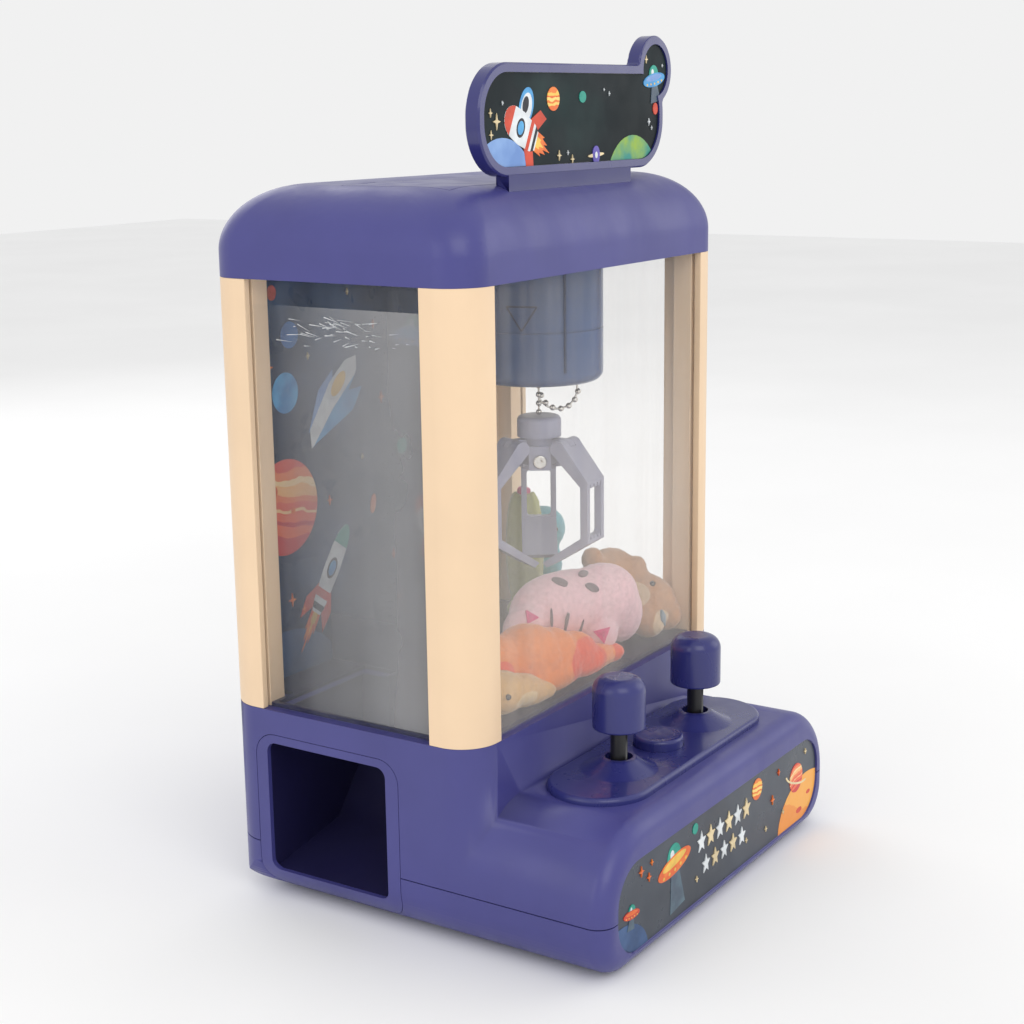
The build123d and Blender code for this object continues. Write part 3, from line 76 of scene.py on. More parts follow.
class Slot(Enum):
    """Material slots of the record."""

    BODY = "body_plastic"
    CONTROL = "control_plastic"
    CREAM = "cream_plastic"
    CHUTE = "chute_plastic"
    CLAW = "grey_plastic"
    HOUSING = "housing_plastic"
    BLACK = "black_plastic"
    PANE = "clear_pane"
    PRINT = "print_dark"
    SIGN = "sign_print"
    STEEL = "steel"
    NICKEL = "nickel"
    RUBBER = "rubber"
    BOARD = "board_green"
    CELL = "cell_wrap"
    PINK = "plush_pink"
    ORANGE = "plush_orange"
    TAN = "plush_tan"
    BROWN = "plush_brown"
    BLUE = "plush_blue"
    GREEN = "plush_green"


# ---------------------------------------------------------------- selection and mesh helpers


def only(piece: bpy.types.Object) -> None:
    """Select one object alone and make it the active one.

    Args:
        piece: Object to select.
    """
    bpy.ops.object.select_all(action="DESELECT")
    piece.select_set(True)
    bpy.context.view_layer.objects.active = piece


def active(name: str) -> bpy.types.Object:
    """Name the primitive that was just added and return it.

    Args:
        name: Name for the object and its mesh.

    Returns:
        The active object.
    """
    piece = bpy.context.active_object
    piece.name = name
    piece.data.name = name
    return piece


def settle(piece: bpy.types.Object) -> None:
    """Put an object's place, turn and scale into its mesh."""
    only(piece)
    bpy.ops.object.transform_apply(location=True, rotation=True, scale=True)


def apply_modifier(piece: bpy.types.Object, kind: str, **values: object) -> None:
    """Add a modifier with the given settings and apply it.

    Args:
        piece: Object that gets the modifier.
        kind: Blender's name of the modifier type.
        values: Settings of the modifier.
    """
    only(piece)
    modifier = piece.modifiers.new(kind.title(), kind)
    for key, value in values.items():
        setattr(modifier, key, value)
    bpy.ops.object.modifier_apply(modifier=modifier.name)


def smooth(piece: bpy.types.Object, degrees: float = CREASE) -> None:
    """Shade an object smooth, with creases above an angle."""
    only(piece)
    bpy.ops.object.shade_smooth_by_angle(angle=math.radians(degrees))


def rounded(piece: bpy.types.Object, width: float) -> None:
    """Round the sharp edges of an object."""
    limit = math.radians(EDGE)
    apply_modifier(piece, "BEVEL", width=width, segments=2, limit_method="ANGLE", angle_limit=limit)


def outward(piece: bpy.types.Object) -> None:
    """Merge doubles and point every face of a closed mesh outwards.

    Args:
        piece: Closed mesh.
    """
    only(piece)
    bpy.ops.object.mode_set(mode="EDIT")
    bpy.ops.mesh.select_all(action="SELECT")
    bpy.ops.mesh.remove_doubles(threshold=0.005 * MM)
    bpy.ops.mesh.normals_make_consistent(inside=False)
    bpy.ops.object.mode_set(mode="OBJECT")


def joined(pieces: list[bpy.types.Object], name: str) -> bpy.types.Object:
    """Join several objects into one.

    Args:
        pieces: Objects to join, with their place already in their meshes.
        name: Name of the joined object.

    Returns:
        The joined object.
    """
    bpy.ops.object.select_all(action="DESELECT")
    for piece in pieces:
        piece.select_set(True)
    bpy.context.view_layer.objects.active = pieces[0]
    if len(pieces) > 1:
        bpy.ops.object.join()
    return active(name)


def dress(piece: bpy.types.Object, material: bpy.types.Material) -> None:
    """Give an object one material all over."""
    piece.data.materials.clear()
    piece.data.materials.append(material)


def belong(piece: bpy.types.Object, body: str, slot: Slot, *nodes: str) -> bpy.types.Object:
    """Tie a finished piece to its body and hide the nodes that it stands for.

    Args:
        piece: Finished object.
        body: Body that it rides on.
        slot: Material slot of the record. Not used.
        nodes: CAD nodes that it replaces.

    Returns:
        The same object.
    """
    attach(piece, body)
    if nodes:
        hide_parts(*nodes)
    LOG.info("%s rides on %s, %d faces", piece.name, body, len(piece.data.polygons))
    return piece


def softened(node: str, bevel: float = 0.0) -> bpy.types.Object:
    """Copy a node's mesh, clean it, round its sharp edges and shade it smooth.

    Args:
        node: CAD node to copy.
        bevel: Width of the rounding, or 0 for none.

    Returns:
        The new object.
    """
    mesh = frame["nodes"][node].data.copy()
    piece = bpy.data.objects.new(node + "_shell", mesh)
    bpy.context.scene.collection.objects.link(piece)
    only(piece)
    bpy.ops.object.mode_set(mode="EDIT")
    bpy.ops.mesh.select_all(action="SELECT")
    bpy.ops.mesh.remove_doubles(threshold=0.002 * MM)
    bpy.ops.mesh.dissolve_limited(angle_limit=math.radians(0.5))
    bpy.ops.object.mode_set(mode="OBJECT")
    if bevel:
        rounded(piece, bevel)
    smooth(piece)
    apply_modifier(piece, "WEIGHTED_NORMAL", keep_sharp=True, weight=60)
    return piece


# ---------------------------------------------------------------- finishes


class Graph:
    """Node graph of one material, with short calls for the nodes that the finishes share."""

    def __init__(self, name: str) -> None:
        """Start a material that holds a Principled shader.

        Args:
            name: Name of the material.
        """
        self.material = bpy.data.materials.new(name)
        self.material.use_nodes = True
        self.tree = self.material.node_tree
        self.tree.nodes.clear()
        self.shader = self.add("ShaderNodeBsdfPrincipled")
        self.output = self.add("ShaderNodeOutputMaterial")
        self.link(self.shader.outputs["BSDF"], self.output.inputs["Surface"])
        self.place = self.add("ShaderNodeTexCoord").outputs["Object"]

    def add(self, kind: str) -> bpy.types.Node:
        """Add a node of one kind."""
        return self.tree.nodes.new(kind)

    def link(self, source: Socket, target: Socket) -> None:
        """Link two sockets."""
        self.tree.links.new(source, target)

    def fix(self, **values: object) -> None:
        """Set constant values on the shader's own sockets, underscores standing for spaces."""
        for key, value in values.items():
            self.shader.inputs[key.replace("_", " ")].default_value = value

    def noise(self, scale: float, detail: float = 3.0, stretch: Triple = (1.0, 1.0, 1.0)) -> Socket:
        """Noise value over the object.

        Args:
            scale: Cells per metre.
            detail: Octaves.
            stretch: Scale of the pattern along each axis.

        Returns:
            The noise value's socket.
        """
        mapping = self.add("ShaderNodeMapping")
        mapping.inputs["Scale"].default_value = stretch
        self.link(self.place, mapping.inputs["Vector"])
        texture = self.add("ShaderNodeTexNoise")
        texture.inputs["Scale"].default_value = scale
        texture.inputs["Detail"].default_value = detail
        self.link(mapping.outputs["Vector"], texture.inputs["Vector"])
        return texture.outputs["Fac"]

    def cells(self, scale: float, feature: str = "F1") -> bpy.types.Node:
        """Cell pattern over the object, as a node.

        Args:
            scale: Cells per metre.
            feature: Blender's name of the measure.

        Returns:
            The texture node.
        """
        texture = self.add("ShaderNodeTexVoronoi")
        texture.feature = feature
        texture.inputs["Scale"].default_value = scale
        self.link(self.place, texture.inputs["Vector"])
        return texture

    def axis(self, letter: str, place: Socket | None = None) -> Socket:
        """One coordinate of the object, or of another place.

        Args:
            letter: X, Y or Z.
            place: Place to read, or None for the object's own.

        Returns:
            The coordinate's socket.
        """
        axes = self.add("ShaderNodeSeparateXYZ")
        self.link(place or self.place, axes.inputs["Vector"])
        return axes.outputs[letter]

    def ramp(self, value: Socket, stops: list[tuple[float, Colour]], hard: bool = False) -> Socket:
        """Colour ramp over a value.

        Args:
            value: Socket with the value.
            stops: Places from 0 to 1 with their colours.
            hard: True for steps without blending.

        Returns:
            The colour's socket.
        """
        node = self.add("ShaderNodeValToRGB")
        node.color_ramp.interpolation = "CONSTANT" if hard else "LINEAR"
        elements = node.color_ramp.elements
        while len(elements) < len(stops):
            elements.new(0.5)
        for element, (at, colour) in zip(elements, stops):
            element.position = at
            element.color = (*colour, 1.0)
        self.link(value, node.inputs["Fac"])
        return node.outputs["Color"]

    def drift(
        self, value: Socket, colour: Colour, darker: float, lighter: float, end: float = 0.7
    ) -> Socket:
        """Let a colour drift between a darker and a lighter shade of itself.

        Args:
            value: Socket that drives the drift.
            colour: Colour between the two shades.
            darker: Factor of the darker shade.
            lighter: Factor of the lighter shade.
            end: Value at which the lighter shade is reached.

        Returns:
            The colour's socket.
        """
        return self.ramp(value, [(0.3, shade(colour, darker)), (end, shade(colour, lighter))])

    def spread(
        self, value: Socket, low: float, high: float, start: float = 0.3, end: float = 0.7
    ) -> Socket:
        """Map a value from one span to another.

        Args:
            value: Socket with the value.
            low: Result where the value is at start.
            high: Result where the value is at end.
            start: First end of the value's span.
            end: Other end of the value's span.

        Returns:
            The result's socket.
        """
        node = self.add("ShaderNodeMapRange")
        node.inputs["From Min"].default_value = start
        node.inputs["From Max"].default_value = end
        node.inputs["To Min"].default_value = low
        node.inputs["To Max"].default_value = high
        self.link(value, node.inputs["Value"])
        return node.outputs["Result"]

    def math(self, operation: str, first: Socket, second: Socket) -> Socket:
        """Join two values by an operation such as ADD.

        Args:
            operation: Blender's name of the operation.
            first: First value.
            second: Second value.

        Returns:
            The result's socket.
        """
        node = self.add("ShaderNodeMath")
        node.operation = operation
        self.link(first, node.inputs[0])
        self.link(second, node.inputs[1])
        return node.outputs["Value"]

    def mix(self, share: Socket, first: Socket, second: Socket) -> Socket:
        """Blend two colours by a share.

        Args:
            share: Share of the second colour, from 0 to 1.
            first: Colour at 0.
            second: Colour at 1.

        Returns:
            The blended colour's socket.
        """
        node = self.add("ShaderNodeMix")
        node.data_type = "RGBA"
        self.link(share, node.inputs["Factor"])
        self.link(first, node.inputs["A"])
        self.link(second, node.inputs["B"])
        return next(socket for socket in node.outputs if socket.type == "RGBA")

    def printed(self) -> bpy.types.Material:
        """Finish the material with the gloss and grain of printed film.

        Returns:
            The material.
        """
        self.drive("Roughness", self.spread(self.noise(300.0), 0.3, 0.42))
        self.fix(Specular_IOR_Level=0.3)
        self.bump(self.noise(1200.0, 2.0), 0.04, 0.03 * MM)
        return self.material

    def drive(self, name: str, source: Socket) -> None:
        """Link a value or a colour to one of the shader's own sockets."""
        self.link(source, self.shader.inputs[name])

    def bump(self, height: Socket, strength: float, depth: float) -> None:
        """Raise the surface by a height, on top of any bump made before.

        Args:
            height: Socket with the height, from 0 to 1.
            strength: Share of the bump that shows.
            depth: Height of the bump in metres.
        """
        node = self.add("ShaderNodeBump")
        node.inputs["Strength"].default_value = strength
        node.inputs["Distance"].default_value = depth
        self.link(height, node.inputs["Height"])
        before = self.shader.inputs["Normal"]
        if before.is_linked:
            self.link(before.links[0].from_socket, node.inputs["Normal"])
        self.link(node.outputs["Normal"], before)


def shade(colour: Colour, factor: float) -> Colour:
    """Lighten or darken a colour."""
    return tuple(min(1.0, channel * factor) for channel in colour)


@dataclass(frozen=True)
class MouldedPlastic:
    """Injection-moulded plastic: uneven colour, mould grain and faint handling marks."""

    name: str
    colour: Colour
    drift: float = 0.07
    rough: float = 0.36
    grain: float = 0.16
    gloss_coat: float = 0.0
    waviness: float = 0.10

    def build(self) -> bpy.types.Material:
        """Make the material.

        Returns:
            The material.
        """
        graph = Graph(self.name)
        cloud = graph.noise(22.0, 4.0)
        graph.drive("Base Color", graph.drift(cloud, self.colour, 1 - self.drift, 1 + self.drift))
        smear = graph.noise(70.0, 5.0, (1.0, 1.0, 0.35))
        graph.drive("Roughness", graph.spread(smear, self.rough - 0.05, self.rough + 0.08))
        graph.fix(Specular_IOR_Level=0.5, Coat_Weight=self.gloss_coat, Coat_Roughness=0.08)
        graph.bump(graph.noise(2600.0, 2.0), self.grain, 0.05 * MM)
        graph.bump(graph.noise(45.0, 2.0), self.waviness, 0.25 * MM)
        return graph.material


@dataclass(frozen=True)
class ClearPane:
    """Clear extruded sheet with a thin haze that lets the light through."""

    name: str
    tint: Colour
    haze: float
    streaks: float = 0.04
    clear_top: float = 0.0

    def build(self) -> bpy.types.Material:
        """Make the material.

        Returns:
            The material.
        """
        graph = Graph(self.name)
        cloud = graph.noise(9.0, 3.0, (1.0, 1.0, 0.5))
        graph.drive("Base Color", graph.drift(cloud, self.tint, 0.94, 1.0))
        streak = graph.noise(160.0, 4.0, (1.0, 1.0, 0.04))
        veil = graph.spread(streak, self.haze - self.streaks, self.haze + self.streaks)
        thinning = graph.spread(graph.axis("Z"), 0.0, self.clear_top, 170 * MM, 262 * MM)
        graph.drive("Alpha", graph.math("SUBTRACT", veil, thinning))
        graph.drive("Roughness", graph.spread(cloud, 0.22, 0.32))
        graph.fix(Specular_IOR_Level=0.5)
        graph.bump(graph.noise(14.0, 1.0), 0.02, 0.2 * MM)
        return graph.material


@dataclass(frozen=True)
class DustyFilm:
    """Grey protective film: it gets denser towards the front, with specks and fine rubbed lines."""

    name: str
    tint: Colour
    thin: float
    dense: float
    fade: Point

    def build(self) -> bpy.types.Material:
        """Make the material.

        Returns:
            The material.
        """
        graph = Graph(self.name)
        across = graph.spread(graph.axis("Y"), self.dense, self.thin, *self.fade)
        speck = graph.spread(graph.noise(1400.0, 2.0), 0.0, 0.12, 0.66, 0.78)
        veil = graph.spread(graph.noise(16.0, 4.0, (1.0, 1.0, 0.4)), -0.03, 0.04)
        graph.drive("Alpha", graph.math("ADD", graph.math("ADD", across, veil), speck))
        graph.drive("Base Color", graph.drift(graph.noise(12.0, 3.0), self.tint, 0.9, 1.1))
        graph.fix(Roughness=0.5, Specular_IOR_Level=0.3)
        graph.bump(graph.noise(240.0, 4.0, (1.0, 1.0, 0.1)), 0.1, 0.05 * MM)
        return graph.material


@dataclass(frozen=True)
class NightPrint:
    """Printed film of a night sky: drifting clouds of ink and a scatter of tiny stars."""

    name: str
    deep: Colour
    cloud: Colour
    star_size: float = 0.035
    rough: float = 0.3
    gloss: float = 0.35

    def build(self) -> bpy.types.Material:
        """Make the material.

        Returns:
            The material.
        """
        graph = Graph(self.name)
        wash = graph.noise(13.0, 4.0)
        stops = [(0.34, self.deep), (0.52, shade(self.deep, 1.6)), (0.74, self.cloud)]
        sky = graph.ramp(wash, stops)
        cells = graph.cells(85.0)
        edge = self.star_size * 2.2
        spark = graph.spread(cells.outputs["Distance"], 1.0, 0.0, self.star_size, edge)
        chosen = graph.spread(cells.outputs["Color"], 0.0, 1.0, 0.62, 0.66)
        both = graph.math("MULTIPLY", spark, chosen)
        white = graph.ramp(wash, [(0.0, (0.6, 0.66, 0.72)), (1.0, (0.9, 0.86, 0.72))])
        graph.drive("Base Color", graph.mix(both, sky, white))
        smear = graph.noise(60.0)
        graph.drive("Roughness", graph.spread(smear, self.rough - 0.06, self.rough + 0.08))
        graph.fix(Specular_IOR_Level=self.gloss)
        graph.bump(graph.noise(700.0, 2.0), 0.05, 0.04 * MM)
        return graph.material


@dataclass(frozen=True)
class Ink:
    """Printed ink: one colour that wanders a little, with a brushed look."""

    name: str
    colour: Colour
    second: Colour | None = None
    patch_scale: float = 120.0

    def build(self) -> bpy.types.Material:
        """Make the material.

        Returns:
            The material.
        """
        graph = Graph(self.name)
        other = self.second or shade(self.colour, 0.78)
        brush = graph.noise(self.patch_scale, 4.0)
        graph.drive("Base Color", graph.ramp(brush, [(0.36, other), (0.62, self.colour)]))
        return graph.printed()


@dataclass(frozen=True)
class BandedInk:
    """Printed planet: slanted bands of a few colours with wavy edges."""

    name: str
    stops: Stops
    centre: Triple
    radius: float
    slant: float

    def build(self) -> bpy.types.Material:
        """Make the material.

        Returns:
            The material.
        """
        graph = Graph(self.name)
        mapping = graph.add("ShaderNodeMapping")
        mapping.vector_type = "TEXTURE"
        mapping.inputs["Location"].default_value = self.centre
        mapping.inputs["Rotation"].default_value = (0.0, math.radians(self.slant), 0.0)
        mapping.inputs["Scale"].default_value = (self.radius,) * 3
        graph.link(graph.place, mapping.inputs["Vector"])
        ripple = graph.spread(graph.noise(0.9 / self.radius, 3.0), -0.14, 0.14)
        wave = graph.math("ADD", graph.axis("Z", mapping.outputs["Vector"]), ripple)
        level = graph.spread(wave, 0.0, 1.0, -1.0, 1.0)
        graph.drive("Base Color", graph.ramp(level, list(self.stops), hard=True))
        return graph.printed()


@dataclass(frozen=True)
class PlushPile:
    """Short pile plush: soft colour drift, tufts, sheen, and a second colour where the mesh says so."""

    name: str
    colour: Colour
    second: Colour
    sheen: float = 0.55

    def build(self) -> bpy.types.Material:
        """Make the material.

        Returns:
            The material.
        """
        graph = Graph(self.name)
        tuft = graph.noise(420.0, 5.0)
        base = graph.drift(tuft, self.colour, 0.87, 1.07, 0.68)
        other = graph.drift(tuft, self.second, 0.87, 1.07, 0.68)
        patch = graph.add("ShaderNodeAttribute")
        patch.attribute_name = "patch"
        share = graph.spread(patch.outputs["Fac"], 0.0, 1.0, 0.42, 0.58)
        graph.drive("Base Color", graph.mix(share, base, other))
        graph.drive("Roughness", graph.spread(tuft, 0.82, 0.98))
        graph.fix(Sheen_Weight=self.sheen, Sheen_Roughness=0.4, Specular_IOR_Level=0.15)
        graph.bump(graph.noise(2300.0, 3.0), 0.5, 0.35 * MM)
        graph.bump(graph.noise(380.0, 4.0), 0.25, 0.5 * MM)
        return graph.material


@dataclass(frozen=True)
class Metal:
    """Plated or drawn metal with fine wear in its gloss."""

    name: str
    colour: Colour
    rough: float
    lines: float = 1.0

    def build(self) -> bpy.types.Material:
        """Make the material.

        Returns:
            The material.
        """
        graph = Graph(self.name)
        wear = graph.noise(260.0, 4.0, (1.0, 1.0, self.lines))
        graph.drive("Base Color", graph.drift(wear, self.colour, 0.84, 1.0))
        graph.drive("Roughness", graph.spread(wear, self.rough, self.rough + 0.14))
        graph.fix(Metallic=1.0)
        graph.bump(graph.noise(1500.0, 2.0, (1.0, 1.0, self.lines)), 0.06, 0.03 * MM)
        return graph.material


@dataclass(frozen=True)
class Boarded:
    """Circuit board or cell wrap: a base colour with hard-edged printed lines."""

    name: str
    base: Colour
    line: Colour
    scale: float

    def build(self) -> bpy.types.Material:
        """Make the material.

        Returns:
            The material.
        """
        graph = Graph(self.name)
        edge = graph.cells(self.scale, "DISTANCE_TO_EDGE").outputs["Distance"]
        graph.drive("Base Color", graph.ramp(edge, [(0.04, self.line), (0.07, self.base)]))
        graph.drive("Roughness", graph.spread(graph.noise(200.0), 0.32, 0.5))
        graph.bump(edge, 0.1, 0.05 * MM)
        return graph.material


class Tone:
    """Colours of the machine, as linear values."""

    BODY = (0.056, 0.055, 0.225)
    CONTROL = (0.024, 0.027, 0.155)
    TOPPER = (0.026, 0.027, 0.150)
    CREAM = (0.84, 0.62, 0.41)
    NAVY = (0.012, 0.011, 0.052)
    CLAW = (0.33, 0.34, 0.46)
    HOUSING = (0.030, 0.075, 0.200)
    BLACK = (0.011, 0.011, 0.012)
    ORANGE = (0.88, 0.25, 0.04)
    RED = (0.68, 0.07, 0.03)
    YELLOW = (0.93, 0.58, 0.10)
    CREAM_INK = (0.86, 0.70, 0.42)
    WHITE = (0.80, 0.84, 0.86)
    SKY = (0.10, 0.42, 0.76)
    PALE_BLUE = (0.24, 0.40, 0.72)
    TEAL = (0.02, 0.36, 0.27)
    VIOLET = (0.16, 0.12, 0.50)
    SLATE_BLUE = (0.05, 0.11, 0.25)


BODY_PLASTIC = MouldedPlastic("body_plastic_satin", Tone.BODY)
CONTROL_PLASTIC = MouldedPlastic("control_plastic_polished", Tone.CONTROL, 0.05, 0.27, 0.04, 0.15, 0.02)
TOPPER_PLASTIC = MouldedPlastic("topper_plastic_polished", Tone.TOPPER, 0.05, 0.2, 0.03, 0.3, 0.02)
CREAM_PLASTIC = MouldedPlastic("cream_plastic_satin", Tone.CREAM, 0.03, 0.42, 0.1)
NAVY_PLASTIC = MouldedPlastic("navy_plastic_satin", Tone.NAVY, 0.12, 0.38)
CLAW_PLASTIC = MouldedPlastic("claw_plastic_satin", Tone.CLAW, 0.08, 0.4)
HOUSING_PLASTIC = MouldedPlastic("housing_plastic_satin", Tone.HOUSING, 0.08, 0.32, 0.03, 0.15, 0.04)
MARK_PLASTIC = MouldedPlastic("housing_mark_plastic", (0.012, 0.028, 0.085), 0.1, 0.3)
BLACK_PLASTIC = MouldedPlastic("black_plastic_satin", Tone.BLACK, 0.2, 0.34)
RUBBER = MouldedPlastic("black_rubber_matt", (0.02, 0.02, 0.02), 0.2, 0.8, 0.4)
FRONT_PANE = ClearPane("front_pane_clear", (0.92, 0.87, 0.81), 0.16, 0.025, 0.10)
SIDE_PANE = ClearPane("side_pane_clear", (0.55, 0.58, 0.62), 0.035, 0.015)
FILM = DustyFilm("left_pane_film", (0.37, 0.365, 0.37), 0.035, 0.47, (4.0 * MM, 70.0 * MM))
SCRATCH_WHITE = Ink("scratch_white", (0.72, 0.74, 0.76))
BACKDROP_SKY = NightPrint("backdrop_night_print", (0.006, 0.016, 0.048), (0.026, 0.085, 0.210))
TOPPER_SKY = NightPrint(
    "topper_night_print", (0.006, 0.010, 0.012), (0.022, 0.050, 0.048), 0.022, 0.4, 0.1
)
SIGN_SKY = NightPrint("sign_night_print", (0.030, 0.037, 0.050), (0.062, 0.074, 0.092), 0.02)
STEEL = Metal("drawn_steel", (0.56, 0.56, 0.57), 0.28, 0.1)
NICKEL = Metal("bright_nickel", (0.78, 0.76, 0.72), 0.10)
BOARD = Boarded("circuit_board_mask", (0.02, 0.16, 0.06), (0.32, 0.28, 0.10), 190.0)
CELL_WRAP = Boarded("cell_wrap_print", (0.05, 0.05, 0.06), (0.55, 0.36, 0.06), 60.0)

NODE_FINISHES = {
    Slot.BODY: BODY_PLASTIC,
    Slot.CONTROL: CONTROL_PLASTIC,
    Slot.CREAM: CREAM_PLASTIC,
    Slot.CHUTE: NAVY_PLASTIC,
    Slot.CLAW: CLAW_PLASTIC,
    Slot.HOUSING: HOUSING_PLASTIC,
    Slot.BLACK: BLACK_PLASTIC,
    Slot.PANE: SIDE_PANE,
    Slot.PRINT: BACKDROP_SKY,
    Slot.SIGN: SIGN_SKY,
    Slot.STEEL: STEEL,
    Slot.NICKEL: NICKEL,
    Slot.RUBBER: RUBBER,
    Slot.BOARD: BOARD,
    Slot.CELL: CELL_WRAP,
}


class FinishShelf:
    """Keeps one material per finish, made the first time it is asked for."""

    def __init__(self) -> None:
        """Start with an empty shelf."""
        self.made: dict[str, bpy.types.Material] = {}

    def get(self, finish: object) -> bpy.types.Material:
        """Return the material of a finish.

        Args:
            finish: Finish to look up.

        Returns:
            Its material.
        """
        if finish.name not in self.made:
            self.made[finish.name] = finish.build()
        return self.made[finish.name]


SHELF = FinishShelf()


# ---------------------------------------------------------------- casing


@dataclass
class Casing:
    """Shells, columns and trim whose shape is the CAD one, with rounded edges."""

    shells: tuple[str, ...] = (
        "base_tray", "base_shell", "chute_frame", "prize_chute", "play_floor", "chute_fence",
        "control_panel", "joystick_knob_left", "joystick_knob_right", "joystick_shaft_left",
        "joystick_shaft_right", "start_button", "column_front_left", "column_front_right",
        "column_rear_left", "column_rear_right", "roof_cap", "roof_hatch", "topper_shell",
        "claw_housing", "claw_hub", "claw_chain", "claw_screws", "rubber_feet",
        "power_switch", "battery_door",
    )
    rounding: dict[str, float] = field(
        default_factory=lambda: {
            "chute_frame": 0.35 * MM,
            "chute_fence": 0.3 * MM,
            "column_front_left": 0.45 * MM,
            "column_front_right": 0.45 * MM,
            "column_rear_left": 0.45 * MM,
            "column_rear_right": 0.45 * MM,
            "claw_hub": 0.3 * MM,
            "rubber_feet": 0.3 * MM,
            "power_switch": 0.25 * MM,
            "battery_door": 0.25 * MM,
        }
    )

    def build(self) -> None:
        """Make a smooth copy of each shell, and dress what stays as it is."""
        record = frame["record"]
        slots = {row["node"]: Slot(row["material_slot"]) for row in record["subparts"]}
        bodies = {}
        for body, nodes in record["behaviour"]["bodies"].items():
            bodies.update(dict.fromkeys(nodes, body))
        for node in self.shells:
            piece = softened(node, self.rounding.get(node, 0.0))
            dress(piece, SHELF.get(NODE_FINISHES[slots[node]]))
            belong(piece, bodies[node], slots[node], node)
        for node, thing in frame["nodes"].items():
            finish = NODE_FINISHES.get(slots[node])
            if finish and not thing.hide_render:
                dress(thing, SHELF.get(finish))
        dress(frame["nodes"]["window_front"], SHELF.get(FRONT_PANE))
        dress(frame["nodes"]["topper_print"], SHELF.get(TOPPER_SKY))
        dress(frame["nodes"]["back_wall"], SHELF.get(BODY_PLASTIC))
        dress(bpy.data.objects["topper_shell_shell"], SHELF.get(TOPPER_PLASTIC))


CLAW_HEADINGS = (33.4, 153.4, 273.4)


@dataclass(frozen=True)
class ClawFinger:
    """Hinged claw finger: two rails joined at the knee and at the scoop, with an open window."""

    number: int
    heading: float
    reach: float = 29.5
    window: Triple = (12.0, 12.4, 24.5)
    window_height: float = 172.4
    bevel: float = 0.35 * MM

    def build(self) -> None:
        """Copy the finger, cut its window, round it and tie it to its hinge."""
        node = f"claw_finger_{self.number}"
        piece = softened(node)
        cutter = self.cutter()
        apply_modifier(piece, "BOOLEAN", operation="DIFFERENCE", solver="EXACT", object=cutter)
        bpy.data.objects.remove(cutter)
        rounded(piece, self.bevel)
        smooth(piece)
        dress(piece, SHELF.get(CLAW_PLASTIC))
        belong(piece, f"finger_{self.number}", Slot.CLAW, node)

    def cutter(self) -> bpy.types.Object:
        """Make the block, rounded along its depth, that opens the window.

        Returns:
            The block.
        """
        low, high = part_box("claw_housing")
        turn = math.radians(self.heading)
        bpy.ops.object.select_all(action="DESELECT")
        bpy.ops.mesh.primitive_cube_add(size=MM)
        block = active("window_block")
        block.scale = self.window
        settle(block)
        apply_modifier(block, "BEVEL", width=2.0 * MM, segments=4)
        centre = (low + high) / 2
        block.rotation_euler = (0.0, 0.0, turn)
        block.location = (
            centre.x + self.reach * MM * math.cos(turn),
            centre.y + self.reach * MM * math.sin(turn),
            self.window_height * MM,
        )
        settle(block)
        return block


# ---------------------------------------------------------------- printed motifs


def ellipse(centre: Point, radii: Point, turn: float = 0.0, count: int = 40) -> list[Point]:
    """Outline of an ellipse in the plane of a print, turned by some degrees.

    Args:
        centre: Its middle.
        radii: Its half width and half height.
        turn: Turn in degrees.
        count: Number of points.

    Returns:
        Points of the outline.
    """
    points = []
    for index in range(count):
        angle = 2 * math.pi * index / count
        points.append((radii[0] * math.cos(angle), radii[1] * math.sin(angle)))
    return moved(points, centre, turn)


def star(centre: Point, radius: float, arms: int = 4, waist: float = 0.28) -> list[Point]:
    """Outline of a sparkle with pointed arms.

    Args:
        centre: Its middle.
        radius: Reach of its arms.
        arms: Number of arms.
        waist: Reach between the arms, as a share of the radius.

    Returns:
        Points of the outline.
    """
    points = []
    for index in range(2 * arms):
        reach = radius if index % 2 == 0 else radius * waist
        angle = math.pi * index / arms + math.pi / 2
        points.append((reach * math.cos(angle) * 0.82, reach * math.sin(angle)))
    return moved(points, centre, 0.0)


def moved(points: list[Point], centre: Point, turn: float) -> list[Point]:
    """Turn an outline about its origin by some degrees and move it.

    Args:
        points: Points of the outline.
        centre: Where its origin goes.
        turn: Turn in degrees.

    Returns:
        Points of the moved outline.
    """
    cos_t = math.cos(math.radians(turn))
    sin_t = math.sin(math.radians(turn))
    return [
        (centre[0] + x * cos_t - z * sin_t, centre[1] + x * sin_t + z * cos_t) for x, z in points
    ]


def flame(length: float, width: float, tongues: int = 5) -> list[Point]:
    """Outline of a flame that points down, with ragged tongues.

    Args:
        length: Reach of its longest tongue.
        width: Width at its top.
        tongues: Number of tongues.

    Returns:
        Points of the outline.
    """
    points = [(-width / 2, 0.0), (width / 2, 0.0)]
    tips = 2 * tongues - 1
    for index in range(tips):
        x = width * (0.55 - 1.1 * (index + 0.5) / tips)
        centred = 1 - abs(2 * (index + 0.5) / tips - 1)
        reach = length * (0.45 + 0.55 * centred)
        points.append((x, -reach if index % 2 == 0 else -0.62 * reach))
    return points


